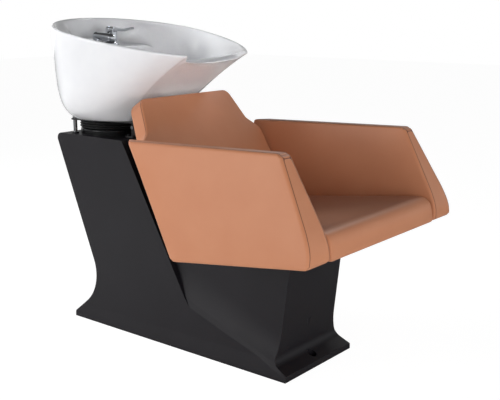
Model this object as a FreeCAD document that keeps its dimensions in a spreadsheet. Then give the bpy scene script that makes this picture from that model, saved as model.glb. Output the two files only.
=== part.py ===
import FreeCAD, Part
import math
import os
import re
import Sketcher

# A salon backwash unit: a tilting ceramic basin on a moulded base, with an upholstered seat in front of it.
# X points to the front of the seat, Y to the sitter's left, Z up.
# The origin is the middle of the foot, on the floor. Lengths are in millimetres, angles in degrees.

V = FreeCAD.Vector
doc = FreeCAD.newDocument("backwash_unit")
sheet = doc.addObject("Spreadsheet::Sheet", "Sizes")

SIZES = {
    # Moulded base: side outline
    "foot_length": 824,
    "foot_width": 311,
    "foot_lip": 10,
    "toe_lip": 17,
    "shell_wall": 5,
    "front_toe": 46,
    "front_waist_z": 40,
    "front_waist_round": 25,
    "rear_toe": 118,
    "rear_waist_z": 117,
    "rear_waist_round": 115,
    "column_rear_x": -502,
    "column_front_x": -200,
    "column_top_z": 574,
    "column_corner": 16,
    "seat_rest_x": 60,
    "seat_rest_z": 300,
    "seat_rest_length": 347,
    "seat_pitch": 7.6,
    "seat_rest_round": 30,
    # Moulded base: sides and the step between column and pedestal
    "column_low_draw": 6.5,
    "column_top_half": 129,
    "column_flare_z": 48,
    "column_flare_round": 60,
    "pedestal_bend_draw": 5.5,
    "pedestal_bend_z": 21,
    "pedestal_low_half": 126,
    "pedestal_top_half": 118,
    "pedestal_flare_z": 62,
    "pedestal_flare_round": 140,
    "sweep_x": -240,
    "sweep_bend_draw": 3.5,
    "sweep_bend_z": 198,
    "sweep_low_half": 111,
    "sweep_flare_z": 343,
    "sweep_top_half": 108,
    "sweep_round": 600,
    "step_bend_x": 60,
    "step_bend_z": 137,
    "step_bend_round": 250,
    "step_top_x": -212,
    "step_floor_x": 240,
    # Floor bolts
    "floor_bolt_margin": 25,
    "floor_bolt_hole": 11,
    "floor_bolt_head": 26,
    "floor_bolt_seat": 12,
    "floor_boss": 36,
    # Plumbing cover at the back of the column
    "cover_width": 180,
    "cover_height": 220,
    "cover_thick": 3,
    "cover_up": 290,
    "cover_overlap": 14,
    "cover_screw": 4,
    "cover_screw_head": 9,
    # Collar, bellows and what carries them
    "collar_x": -370,
    "collar_radius": 106,
    "collar_bore": 96,
    "collar_height": 18,
    "deck_thick": 5,
    "deck_half": 117,
    "deck_front_x": -216,
    "deck_rear_x": -462,
    "bellows_radius": 108,
    "bellows_groove": 5,
    "bellows_wall": 3,
    "bellows_ribs": 3,
    "soft_gap": 0.3,
    # Tilt hinge and rods
    "hinge_x": -238,
    "hinge_z": 602,
    "pin_radius": 5,
    "pin_slack": 0.05,
    "pin_length": 112,
    "lug_thick": 6,
    "lug_width": 26,
    "lug_gap": 1,
    "lug_reach": 11,
    "lug_round": 8,
    "bracket_length": 40,
    "bracket_half": 70,
    "bracket_round": 10,
    "hinge_bolt": 3,
    "hinge_bolt_head": 5.4,
    "hinge_bolt_pitch": 20,
    "hinge_bolt_y": 60,
    "tilt_lug_y": 36,
    "bracket_thick": 4,
    "tilt_plate_z": 616,
    "tilt_plate_thick": 4,
    "tilt_plate_rear_x": -448,
    "tilt_plate_half": 115,
    "tilt_plate_front_x": -218,
    "tilt_ear": 13,
    "tilt_window_rear_x": -430,
    "tilt_window_front_x": -268,
    "tilt_window_half": 56,
    "bowl_pad_thick": 3,
    "bowl_pad_radius": 103,
    "rod_x": -437,
    "rod_y": 104,
    "rod_radius": 6,
    "rod_bottom_z": 508,
    "rod_stud_radius": 4,
    "rod_shoulder_gap": 0.7,
    "rod_eye_slack": 2.6,
    "rod_nut_radius": 7.5,
    "rod_nut_height": 5,
    "bush_radius": 8.5,
    "bush_flange": 10.5,
    "bush_flange_height": 5,
    "bush_length": 34,
    # Ceramic bowl
    "rim_x": -262,
    "rim_z": 884,
    "rim_tilt": 10.06,
    "rim_rear": 214,
    "rim_half": 271,
    "rim_wall": 10,
    "neck_x": 62,
    "neck_half": 131,
    "neck_low_z": 806,
    "neck_radius": 600,
    "bowl_base_x": -350,
    "bowl_base_half": 135,
    "bowl_base_rear": 100,
    "bowl_base_front": 125,
    "bowl_base_front_half": 80,
    "basin_x": -215,
    "basin_floor_half": 125,
    "drain_floor_rear": 38,
    "drain_floor_front": 65,
    "tap_deck_edge_x": -335,
    "deck_level_x": -378,
    "deck_level_front_x": -170,
    "deck_level_z": 843,
    "deck_level_tilt": 5.7,
    "deck_wall": 16,
    "tap_cavity_rear_x": -434,
    "tap_cavity_front_x": -352,
    "tap_cavity_half": 116,
    "tap_cavity_low_z": 705,
    "pipe_bay_half": 60,
    "drain_x": -305,
    "drain_floor_z": 645,
    "drain_radius": 22,
    # Drain fittings
    "flange_radius": 36,
    "flange_thick": 3,
    "drain_bore": 18,
    "drain_tail_z": 590,
    "strainer_radius": 20,
    "strainer_thick": 3,
    "strainer_seat": 6,
    "strainer_hole": 2.5,
    "strainer_holes": 8,
    "gasket_thick": 3,
    "nut_radius": 30,
    "nut_height": 10,
    # Mixer tap and hand spray, on the tap deck
    "mixer_radius": 18,
    "mixer_foot_radius": 25,
    "mixer_foot_height": 6,
    "mixer_height": 36,
    "mixer_shank": 12,
    "mixer_shank_length": 46,
    "tap_nut_radius": 20,
    "tap_nut_height": 8,
    "cap_height": 16,
    "cap_slot": 15,
    "cap_floor": 3,
    "run_gap": 0.4,
    "lever_width": 14,
    "lever_length": 92,
    "lever_root": 6,
    "lever_rise": 8,
    "lever_tip_rise": 20,
    "lever_thick": 7,
    "lever_pivot": 10,
    "lever_pin": 2,
    "spray_y": -50,
    "spray_x": -12,
    "spray_handle": 10,
    "spray_tail": 84,
    "spray_neck": 26,
    "spray_head": 14,
    "spray_reach": 66,
    "spray_face": 11,
    "spray_face_thick": 4,
    "socket_radius": 16,
    "socket_height": 10,
    "socket_shank": 13,
    # Seat frame and boards, along the seat's slope
    "rail_size": 30,
    "rail_wall": 2,
    "rail_y": 72,
    "rail_start": 18,
    "rail_length": 486,
    "bar_thick": 8,
    "bar_width": 40,
    "bar_rear": 130,
    "bar_front": 440,
    "ear_thick": 6,
    "frame_bolt": 4,
    "frame_bolt_head": 7,
    "frame_bolt_length": 14,
    "frame_bolt_rear": 70,
    "frame_bolt_front": 300,
    "arm_bolt_length": 46,
    "arm_bolt_w": 47,
    "hole_slack": 0.3,
    "board_thick": 18,
    "board_rear": 84,
    "board_front": 528,
    "board_half": 238,
    # Upholstery
    "cushion_top": 86,
    "cushion_crown": 6,
    "cushion_front": 558,
    "cushion_nose": 24,
    "apron_low": 10,
    "apron_round": 9,
    "cushion_draw": 5,
    "seat_half": 249.5,
    "arm_low_rear_x": 195,
    "arm_low_rear_z": 332,
    "arm_low_front_x": 610,
    "arm_low_front_z": 387,
    "arm_top_rear_x": 5,
    "arm_top_rear_z": 614,
    "arm_top_front_x": 500,
    "arm_top_front_z": 632,
    "arm_low_outer": 350,
    "arm_top_outer": 305,
    "arm_low_inner": 250.5,
    "arm_top_inner": 262,
    "arm_round": 10,
    "arm_rear_round": 24,
    "arm_rear_skew": 45,
    "arm_bow": 17,
    "arm_draw": 7,
    "arm_swell": 2,
    "back_foot_u": 90,
    "back_foot_w": 76,
    "back_tilt": 32.4,
    "back_thick": 56,
    "back_height": 385,
    "back_low_half": 238,
    "back_shoulder": 252,
    "back_neck_half": 214,
    "back_neck": 276,
    "back_top_half": 185,
    "back_round": 22,
    "back_draw": 8,
    "back_crown": 5,
    "back_board_thick": 12,
    "back_board_margin": 30,
    "back_flat_thick": 6,
    "back_flat_width": 36,
    "back_flat_height": 190,
    "back_foot_length": 52,
}

for row, (name, number) in enumerate(SIZES.items(), start=1):
    sheet.set(f"A{row}", name)
    sheet.set(f"B{row}", str(number))
    sheet.setAlias(f"B{row}", name)
doc.recompute()

FUNCTIONS = ("sin", "cos", "tan", "atan", "sqrt", "deg")
pieces = []


def bind(formula):
    """Write a formula of size names as an expression on the sheet."""
    return re.sub(r"[a-z][a-z_]*", lambda word: word[0] if word[0] in FUNCTIONS else "Sizes." + word[0], formula)


def size(formula):
    """The number that a formula of size names has now."""
    return float(sheet.evalExpression(bind(formula)))


# Frames that pieces stand in: X and Z of the origin, and the lean back about the Y axis.
# Along a frame, u runs forwards, v to the left and w up.
LEVEL = ("0", "0", "0")
SEAT = ("seat_rest_x", "seat_rest_z", "seat_pitch")
TAP_DECK = ("deck_level_x", "deck_level_z", "-deck_level_tilt")
REAR_WAIST_X = "(rear_toe - foot_length / 2)"
COLUMN_BACK = (REAR_WAIST_X, "rear_waist_z",
               f"(atan(({REAR_WAIST_X} - column_rear_x) / (column_top_z - rear_waist_z)) / 1 deg)")
BACKREST = ("(seat_rest_x + back_foot_u * cos(seat_pitch) - back_foot_w * sin(seat_pitch))",
            "(seat_rest_z + back_foot_u * sin(seat_pitch) + back_foot_w * cos(seat_pitch))", "back_tilt")


def stand(thing, frame, u="0", v="0", w="0", turn="0"):
    """Stand a piece at a point of a frame, leaning as the frame does and by a further turn."""
    x, z, lean = frame
    spot = {
        "x": f"{x} + ({u}) * cos({lean}) - ({w}) * sin({lean})",
        "y": v,
        "z": f"{z} + ({u}) * sin({lean}) + ({w}) * cos({lean})",
    }
    thing.Placement = FreeCAD.Placement(V(0, 0, 0), FreeCAD.Rotation(V(0, -1, 0), 10))
    for axis, formula in spot.items():
        thing.setExpression(f"Placement.Base.{axis}", bind(formula))
    thing.setExpression("Placement.Rotation.Angle", bind(f"{lean} + ({turn})"))
    return thing


def piece(label, thing):
    """Name a finished sub-part."""
    thing.Label = label
    pieces.append(thing)
    return thing


def outline(body, plane, corners, at=("0", "0", "0"), tilt="0"):
    """Closed outline through corners (across, up, round), on a body's plane moved to a point and tilted."""
    sketch = body.newObject("Sketcher::SketchObject", body.Name + "_outline")
    origin_plane = next(part for part in body.Origin.OriginFeatures if part.Role == plane)
    sketch.AttachmentSupport = [(origin_plane, "")]
    sketch.MapMode = "FlatFace"
    sketch.AttachmentOffset = FreeCAD.Placement(V(0, 0, 0), FreeCAD.Rotation(V(0, -1, 0), 10))
    for axis, formula in zip("xyz", at):
        sketch.setExpression(f"AttachmentOffset.Base.{axis}", bind(formula))
    sketch.setExpression("AttachmentOffset.Rotation.Angle", bind(tilt))

    count = len(corners)
    points = [V(size(corner[0]), size(corner[1]), 0) for corner in corners]
    along = [(points[(i + 1) % count] - points[i]).normalize() for i in range(count)]
    turns = [math.atan2(along[i - 1].cross(along[i]).z, along[i - 1].dot(along[i])) for i in range(count)]
    radii = [size(corner[2]) if len(corner) > 2 else 0 for corner in corners]
    reach = [radii[i] * math.tan(abs(turns[i]) / 2) for i in range(count)]
    for i in range(count):
        start = points[i] + along[i] * reach[i]
        end = points[(i + 1) % count] - along[i] * reach[(i + 1) % count]
        sketch.addGeometry(Part.LineSegment(start, end))

    def fix(geometry, corner):
        for kind, formula in zip(("DistanceX", "DistanceY"), corner):
            number = sketch.addConstraint(Sketcher.Constraint(kind, -1, 1, geometry, 1, size(formula)))
            sketch.setExpression(f"Constraints[{number}]", bind(formula))

    for i in range(count):
        before = (i - 1) % count
        if not radii[i]:
            sketch.addConstraint(Sketcher.Constraint("Coincident", before, 2, i, 1))
            fix(i, corners[i])
            continue
        left = turns[i] > 0
        first = points[i] - along[before] * reach[i]
        last = points[i] + along[i] * reach[i]
        centre = first + V(0, 0, 1 if left else -1).cross(along[before]) * radii[i]
        ends = (first, last) if left else (last, first)
        angles = [math.atan2(end.y - centre.y, end.x - centre.x) for end in ends]
        if angles[1] < angles[0]:
            angles[1] += 2 * math.pi
        arc = sketch.addGeometry(Part.ArcOfCircle(Part.Circle(centre, V(0, 0, 1), radii[i]), *angles))
        sketch.addConstraint(Sketcher.Constraint("Tangent", before, 2, arc, 1 if left else 2))
        sketch.addConstraint(Sketcher.Constraint("Tangent", arc, 2 if left else 1, i, 1))
        number = sketch.addConstraint(Sketcher.Constraint("Radius", arc, radii[i]))
        sketch.setExpression(f"Constraints[{number}]", bind(corners[i][2]))
        knot = sketch.addGeometry(Part.Point(points[i]), True)
        sketch.addConstraint(Sketcher.Constraint("PointOnObject", knot, 1, before))
        sketch.addConstraint(Sketcher.Constraint("PointOnObject", knot, 1, i))
        fix(knot, corners[i])
    return sketch


def padded(name, plane, corners, length, offset="0", both_ways=False):
    """A body padded from one outline, which lies at an offset along the plane's normal."""
    body = doc.addObject("PartDesign::Body", name)
    feature = body.newObject("PartDesign::Pad", name + "_pad")
    feature.Profile = outline(body, plane, corners, ("0", "0", offset))
    feature.SideType = "Symmetric" if both_ways else "One side"
    feature.setExpression("Length", bind(length))
    return body


def turned(name, corners):
    """A body turned about its own Z axis from an outline of (radius, height) corners."""
    body = doc.addObject("PartDesign::Body", name)
    feature = body.newObject("PartDesign::Revolution", name + "_turn")
    profile = outline(body, "XZ_Plane", corners)
    feature.Profile = profile
    feature.ReferenceAxis = (profile, ["V_Axis"])
    feature.Angle = 360
    return body


def lofted(name, plane, sections):
    """A body lofted through outlines, each given as (corners, place, tilt)."""
    body = doc.addObject("PartDesign::Body", name)
    sketches = [outline(body, plane, *section) for section in sections]
    feature = body.newObject("PartDesign::AdditiveLoft", name + "_loft")
    feature.Profile = sketches[0]
    feature.Sections = sketches[1:]
    feature.Ruled = True
    return body


def rectangle(left, right, low, high, corner=None):
    """Corners of an upright rectangle, all rounded alike or all sharp."""
    ends = [(left, low), (right, low), (right, high), (left, high)]
    return [end + (corner,) for end in ends] if corner else ends


def both_sides(half):
    """Corners of an outline that is alike on both sides of the vertical, from its right half, bottom to top."""
    return half + [(f"-({corner[0]})",) + corner[1:] for corner in reversed(half)]


def cylinder(name, radius, height, frame=LEVEL, u="0", v="0", w="0", turn="0"):
    """A round bar that starts at a point of a frame and runs along w, or along a turned direction."""
    thing = doc.addObject("Part::Cylinder", name)
    thing.setExpression("Radius", bind(radius))
    thing.setExpression("Height", bind(height))
    return stand(thing, frame, u, v, w, turn)


def crossbar(name, radius, length, frame, u, w, v="0"):
    """A round bar along Y, with its middle at v."""
    thing = cylinder(name, radius, length)
    stand(thing, frame, u, f"{v} + ({length}) / 2", w)
    thing.setExpression("Placement.Rotation.Angle", None)
    thing.Placement = FreeCAD.Placement(V(0, 0, 0), FreeCAD.Rotation(V(1, 0, 0), 90))
    return thing


def cut(name, base, tools):
    tool = tools[0] if len(tools) == 1 else fuse(name + "_tools", tools)
    step = doc.addObject("Part::Cut", name)
    step.Base = base
    step.Tool = tool
    return step


def common(name, base, tool):
    step = doc.addObject("Part::Common", name)
    step.Base = base
    step.Tool = tool
    return step


def fuse(name, things):
    step = doc.addObject("Part::MultiFuse", name)
    step.Shapes = things
    step.Refine = True
    return step


def group(name, things):
    step = doc.addObject("Part::Compound", name)
    step.Links = things
    return step


SIDES = (-1, 1)
FLOOR_BOLT_X = "(foot_length / 2 - floor_bolt_margin)"
SEAT_REST_FRONT_X = "seat_rest_x + seat_rest_length * cos(seat_pitch)"
SEAT_REST_FRONT_Z = "seat_rest_z + seat_rest_length * sin(seat_pitch)"
BOWL_BASE_Z = "(tilt_plate_z + tilt_plate_thick + bowl_pad_thick)"


def base_form(name, inset):
    """The base as a full block, drawn in by an inset: its side outline, cut to the shape of its flared sides."""
    half_foot = f"foot_width / 2 - {inset}"
    side_outline = [
        (f"-foot_length / 2 + {inset}", f"-{inset}"),
        (f"-foot_length / 2 + {inset}", "toe_lip"),
        (f"{REAR_WAIST_X} + {inset}", "rear_waist_z", f"rear_waist_round + {inset}"),
        (f"column_rear_x + {inset}", f"column_top_z - {inset}", "column_corner"),
        (f"column_front_x - {inset}", f"column_top_z - {inset}", "column_corner"),
        (f"seat_rest_x - {inset}", f"seat_rest_z - {inset}", "seat_rest_round"),
        (f"{SEAT_REST_FRONT_X} - {inset}", f"{SEAT_REST_FRONT_Z} - {inset}"),
        (f"foot_length / 2 - front_toe - {inset}", "front_waist_z", f"front_waist_round + {inset}"),
        (f"foot_length / 2 - {inset}", "toe_lip"),
        (f"foot_length / 2 - {inset}", f"-{inset}"),
    ]
    column_section = both_sides([
        (half_foot, "-2 * foot_lip"),
        (half_foot, "foot_lip"),
        (f"{half_foot} - column_low_draw", "column_flare_z", "column_flare_round"),
        (f"column_top_half - {inset}", "column_top_z"),
    ])
    front_section = both_sides([
        (f"{half_foot} + foot_lip", "-3 * foot_lip"),
        (f"{half_foot} + foot_lip", "0"),
        (f"{half_foot} - pedestal_bend_draw", "pedestal_bend_z", "pedestal_flare_round"),
        (f"pedestal_low_half - {inset}", "pedestal_flare_z", "pedestal_flare_round"),
        (f"pedestal_top_half - {inset}", "column_top_z + 2 * foot_lip"),
    ])
    swept_section = both_sides([
        (f"{half_foot} + foot_lip", "-3 * foot_lip"),
        (f"{half_foot} + foot_lip", "0"),
        (f"{half_foot} - sweep_bend_draw", "sweep_bend_z", "sweep_round"),
        (f"sweep_low_half - {inset}", "sweep_flare_z", "sweep_round"),
        (f"sweep_top_half - {inset}", "column_top_z + 2 * foot_lip"),
    ])
    behind_step = [
        ("-foot_length", "-4 * foot_lip"),
        (f"step_floor_x - {inset}", "-4 * foot_lip"),
        (f"step_bend_x - {inset}", "step_bend_z", "step_bend_round"),
        (f"step_top_x - {inset}", "column_top_z + foot_lip"),
        ("-foot_length", "column_top_z + foot_lip"),
    ]
    side = padded(name + "_side", "XZ_Plane", side_outline, "2 * foot_width", both_ways=True)
    column = padded(name + "_column", "YZ_Plane", column_section, "2 * foot_length", both_ways=True)
    pedestal = lofted(name + "_pedestal", "YZ_Plane", [
        (swept_section, ("0", "0", "sweep_x"), "0"), (front_section, ("0", "0", "foot_length / 2"), "0")])
    rear = padded(name + "_rear", "XZ_Plane", behind_step, "2 * foot_width", both_ways=True)
    plan = common(name + "_plan", column, fuse(name + "_stepped", [pedestal, rear]))
    return common(name, side, plan)


def frame_bolts(radius, length, start):
    """Round bars along the four bolts that hold the seat frame on the base."""
    return [cylinder("frame_bolt_bar", radius, length, SEAT, along, f"{side} * rail_y", start)
            for along in ("frame_bolt_rear", "frame_bolt_front") for side in SIDES]


def cover_screws(radius, length, start):
    """Round bars, pointing out of the column's back, along the four screws of the plumbing cover."""
    return [cylinder("cover_screw_bar", radius, length, COLUMN_BACK, f"-({start})",
                     f"{side} * (cover_width - cover_overlap) / 2",
                     f"cover_up + {end} * (cover_height - cover_overlap) / 2", "90")
            for side in SIDES for end in SIDES]


def hinge_bolts(radius, length, start):
    """Round bars along the four bolts of the hinge bracket."""
    return [cylinder("hinge_bolt_bar", radius, length, LEVEL, f"hinge_x + {end} * hinge_bolt_pitch / 2",
                     f"{side} * hinge_bolt_y", start)
            for side in SIDES for end in SIDES]


def base_shell():
    """Hollow moulded base, open below, with bosses for the floor bolts and openings for what it carries."""
    block = base_form("base_block", "0")
    hollow = base_form("base_hollow", "shell_wall")
    bosses = fuse("floor_bosses", [
        cylinder("floor_boss", "floor_boss / 2", "rear_waist_z", LEVEL, f"{side} * {FLOOR_BOLT_X}")
        for side in SIDES])
    shell = fuse("base_with_bosses", [cut("base_hollowed", block, [hollow]), common("bosses_in_base", bosses, block)])
    tools = []
    for side in SIDES:
        bolt = f"{side} * {FLOOR_BOLT_X}"
        tools.append(cylinder("floor_hole", "floor_bolt_hole / 2", "rear_waist_z", LEVEL, bolt, "0", "-foot_lip"))
        tools.append(cylinder("floor_counterbore", "floor_bolt_head / 2", "rear_waist_z", LEVEL, bolt, "0",
                              "floor_bolt_seat"))
        tools.append(cylinder("bush_hole", "bush_radius", "bush_length", LEVEL, "rod_x", f"{side} * rod_y",
                              "column_top_z - bush_length / 2"))
    tools.append(cylinder("collar_hole", "collar_bore", "4 * deck_thick", LEVEL, "collar_x", "0",
                          "column_top_z - 2 * deck_thick"))
    half_width = "(cover_width / 2 - cover_overlap)"
    half_height = "(cover_height / 2 - cover_overlap)"
    window = padded("cover_window", "YZ_Plane", rectangle(
        f"-{half_width}", half_width, f"-{half_height}", half_height, "cover_overlap"), "8 * shell_wall",
        both_ways=True)
    tools.append(stand(window, COLUMN_BACK, "0", "0", "cover_up"))
    tools += frame_bolts("frame_bolt + hole_slack", "4 * shell_wall", "-2 * shell_wall")
    tools += cover_screws("cover_screw / 2", "4 * shell_wall", "-2 * shell_wall")
    tools += hinge_bolts("hinge_bolt + hole_slack", "4 * shell_wall", "column_top_z - 2 * shell_wall")
    piece("base_shell", cut("base_shell", shell, tools))


def plumbing_cover():
    """Flat cover screwed over the opening at the back of the column."""
    plate = padded("cover_plate", "YZ_Plane", rectangle(
        "-cover_width / 2", "cover_width / 2", "-cover_height / 2", "cover_height / 2", "cover_overlap / 2"),
        "cover_thick", "-cover_thick")
    stand(plate, COLUMN_BACK, "0", "0", "cover_up")
    piece("access_cover", cut("access_cover", plate, cover_screws("cover_screw / 2", "2 * cover_thick",
                                                                  "-cover_thick / 2")))
    shanks = cover_screws("cover_screw / 2", "cover_thick + shell_wall", "-shell_wall")
    heads = cover_screws("cover_screw_head / 2", "cover_screw", "cover_thick")
    screws = [fuse("cover_screw", [shank, head]) for shank, head in zip(shanks, heads)]
    piece("cover_screws", group("cover_screws", screws))


def collar_and_bellows():
    """Steel deck under the column's top, the collar ring on it, and the ribbed sleeve up to the tilt plate."""
    deck = padded("deck_sheet", "XY_Plane", rectangle(
        "deck_rear_x", "deck_front_x", "-deck_half", "deck_half", "column_corner"), "deck_thick",
        "column_top_z - shell_wall - deck_thick")
    holes = [cylinder("deck_hole", "collar_bore", "4 * deck_thick", LEVEL, "collar_x", "0",
                      "column_top_z - 4 * deck_thick")]
    holes += [cylinder("deck_bush_hole", "bush_radius", "bush_length", LEVEL, "rod_x", f"{side} * rod_y",
                       "column_top_z - bush_length / 2") for side in SIDES]
    holes += hinge_bolts("hinge_bolt + hole_slack", "4 * deck_thick", "column_top_z - 4 * deck_thick")
    piece("deck_plate", cut("deck_plate", deck, holes))

    collar = turned("collar_ring", [
        ("collar_bore", "0"),
        ("collar_radius", "0"),
        ("collar_radius", "collar_height", "collar_height / 3"),
        ("collar_bore", "collar_height"),
    ])
    piece("basin_collar", stand(collar, LEVEL, "collar_x", "0", "column_top_z"))

    ribs = int(size("bellows_ribs"))
    height = "(tilt_plate_z - soft_gap - column_top_z - collar_height)"
    outer = []
    for fold in range(2 * ribs + 1):
        depth = "bellows_groove" if fold % 2 == 0 else "0"
        outer.append((f"bellows_radius - {depth}", f"{height} * {fold} / {2 * ribs}"))
    inner = [(f"{radius} - bellows_wall", level) for radius, level in reversed(outer)]
    sleeve = turned("bellows_sleeve", outer + inner)
    piece("bellows", stand(sleeve, LEVEL, "collar_x", "0", "column_top_z + collar_height"))


def lug(name, y, low, high, hinge_round):
    """A flat lug across the hinge axis, with its free corners rounded."""
    left, right = "hinge_x - lug_width / 2", "hinge_x + lug_width / 2"
    corners = [(left, low), (right, low), (right, high), (left, high)]
    rounded = [corner + (hinge_round,) for corner in corners[2:]]
    return padded(name, "XZ_Plane", corners[:2] + rounded, "lug_thick", f"-({y})", both_ways=True)


def tilt_hinge():
    """Fixed bracket on the column, tilting plate under the bowl, the pin that joins them and the bowl's pad."""
    bracket_plate = padded("bracket_plate", "XY_Plane", rectangle(
        "hinge_x - bracket_length / 2", "hinge_x + bracket_length / 2", "-bracket_half", "bracket_half",
        "bracket_round"), "bracket_thick", "column_top_z")
    fixed_y = "(tilt_lug_y + lug_thick + lug_gap)"
    fixed_lugs = [lug("fixed_lug", f"{side} * {fixed_y}", "column_top_z", "hinge_z + lug_reach", "lug_round")
                  for side in SIDES]
    bores = [crossbar("hinge_bore", "pin_radius", "2 * pin_length", LEVEL, "hinge_x", "hinge_z")]
    bores += hinge_bolts("hinge_bolt + hole_slack", "4 * bracket_thick", "column_top_z - bracket_thick")
    piece("hinge_bracket", cut("hinge_bracket", fuse("bracket", [bracket_plate] + fixed_lugs), bores))
    piece("hinge_pin", crossbar("hinge_pin", "pin_radius - pin_slack", "pin_length", LEVEL, "hinge_x", "hinge_z"))
    grip = "(bracket_thick + shell_wall + deck_thick)"
    shanks = hinge_bolts("hinge_bolt", grip, f"column_top_z + bracket_thick - {grip}")
    heads = hinge_bolts("hinge_bolt_head", "hinge_bolt", "column_top_z + bracket_thick")
    bolts = [fuse("hinge_bolt", [shank, head]) for shank, head in zip(shanks, heads)]
    piece("hinge_bolts", group("hinge_bolts", bolts))

    front_half = "(tilt_lug_y + 4 * lug_thick)"
    plate_outline = [
        ("tilt_plate_front_x", f"-{front_half}", "bracket_round"),
        ("tilt_plate_front_x", front_half, "bracket_round"),
        ("rod_x + tilt_ear", "tilt_plate_half", "bracket_round"),
        ("tilt_plate_rear_x", "tilt_plate_half", "bracket_round"),
        ("tilt_plate_rear_x", "-tilt_plate_half", "bracket_round"),
        ("rod_x + tilt_ear", "-tilt_plate_half", "bracket_round"),
    ]
    sheet_metal = padded("tilt_sheet", "XY_Plane", plate_outline, "tilt_plate_thick", "tilt_plate_z")
    lugs = [lug("tilt_lug", f"{side} * tilt_lug_y", "tilt_plate_z + tilt_plate_thick / 2", "hinge_z - lug_reach",
                "lug_round") for side in SIDES]
    tools = [crossbar("tilt_bore", "pin_radius", "2 * pin_length", LEVEL, "hinge_x", "hinge_z")]
    tools += [cylinder("rod_eye", "rod_stud_radius + rod_eye_slack", "4 * tilt_plate_thick", LEVEL, "rod_x",
                       f"{side} * rod_y", "tilt_plate_z - tilt_plate_thick") for side in SIDES]
    tools.append(tilt_window())
    piece("tilt_plate", cut("tilt_plate", fuse("tilt_plate_blank", [sheet_metal] + lugs), tools))

    disc = cylinder("pad_disc", "bowl_pad_radius", "bowl_pad_thick", LEVEL, "bowl_base_x", "0",
                    "tilt_plate_z + tilt_plate_thick")
    piece("bowl_pad", cut("bowl_pad", disc, [tilt_window()]))


def tilt_window():
    """The opening in the tilt plate and its pad that the drain and the tap's pipes pass through."""
    return padded("tilt_window", "XY_Plane", rectangle(
        "tilt_window_rear_x", "tilt_window_front_x", "-tilt_window_half", "tilt_window_half", "column_corner"),
        "8 * tilt_plate_thick", "tilt_plate_z - 2 * tilt_plate_thick")


def tilt_rods():
    """Two bright rods that slide in bushes on the column and end in a stud and nut at the tilt plate."""
    shoulder = "(tilt_plate_z - rod_shoulder_gap)"
    nut_low = "(tilt_plate_z + tilt_plate_thick + rod_shoulder_gap)"
    bushes = []
    for side, label in zip(SIDES, ("right", "left")):
        rod = turned(label + "_rod", [
            ("0", "rod_bottom_z"),
            ("rod_radius", "rod_bottom_z", "rod_radius / 4"),
            ("rod_radius", shoulder),
            ("rod_stud_radius", shoulder),
            ("rod_stud_radius", f"{nut_low} + rod_nut_height"),
            ("0", f"{nut_low} + rod_nut_height"),
        ])
        piece(label + "_tilt_rod", stand(rod, LEVEL, "rod_x", f"{side} * rod_y"))
        nut = turned(label + "_nut", rectangle("rod_stud_radius + pin_slack", "rod_nut_radius", nut_low,
                                          f"{nut_low} + rod_nut_height"))
        piece(label + "_rod_nut", stand(nut, LEVEL, "rod_x", f"{side} * rod_y"))
        bush = turned(label + "_bush", [
            ("rod_radius + pin_slack", "bush_flange_height - bush_length"),
            ("bush_radius", "bush_flange_height - bush_length"),
            ("bush_radius", "0"),
            ("bush_flange", "0"),
            ("bush_flange", "bush_flange_height"),
            ("rod_radius + pin_slack", "bush_flange_height"),
        ])
        bushes.append(stand(bush, LEVEL, "rod_x", f"{side} * rod_y", "column_top_z"))
    piece("rod_bushes", group("rod_bushes", bushes))


EGG_STEPS = 16
BOWL_SHARES = (0, 0.2, 0.4, 0.6, 0.75, 0.87, 0.95, 1)
ABOVE_RIM = -0.08
FLOOR_TURN = 3.5
FLOOR_REACH = 0.85
WALL_TAPER = 0.1


def egg(x, z, tilt, rear, front_x, half, front_half):
    """Egg-shaped outline cut off straight at the front: two half ellipses that meet at the widest place."""
    front = (front_x - x) / math.sqrt(1 - (front_half / half) ** 2)
    start = math.acos((front_x - x) / front)
    points = []
    for step in range(EGG_STEPS + 1):
        angle = start + (2 * math.pi - 2 * start) * step / EGG_STEPS
        reach = front if math.cos(angle) > 0 else rear
        along = reach * math.cos(angle)
        points.append(V(x + along, half * math.sin(angle), z - along * math.tan(math.radians(tilt))))
    curve = Part.BSplineCurve()
    curve.interpolate(points)
    return Part.Wire([curve.toShape(), Part.LineSegment(points[-1], points[0]).toShape()])


def fullness(depth):
    """How wide a bowl still is at a share of its depth, before it is fitted between its rim and its base."""
    return math.sqrt(1 - FLOOR_REACH * max(depth, 0) ** FLOOR_TURN) * (1 - WALL_TAPER * depth)


def bowl_form(top, base, depths):
    """A bowl lofted through eggs at shares of its depth: walls that taper a little, then round into the base."""
    wires = []
    for depth in depths:
        inward = max(depth, 0) ** FLOOR_TURN
        wall = (fullness(depth) - fullness(1)) / (fullness(0) - fullness(1))
        x = top["x"] + (base["x"] - top["x"]) * inward
        rear_x = top["rear_x"] + (base["rear_x"] - top["rear_x"]) * (1 - wall)
        wires.append(egg(
            x,
            top["z"] + (base["z"] - top["z"]) * depth,
            top["tilt"] * (1 - depth),
            x - rear_x,
            top["front_x"] + (base["front_x"] - top["front_x"]) * depth,
            base["half"] + (top["half"] - base["half"]) * wall,
            top["front_half"] + (base["front_half"] - top["front_half"]) * inward))
    return Part.makeLoft(wires, True, False)


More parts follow.
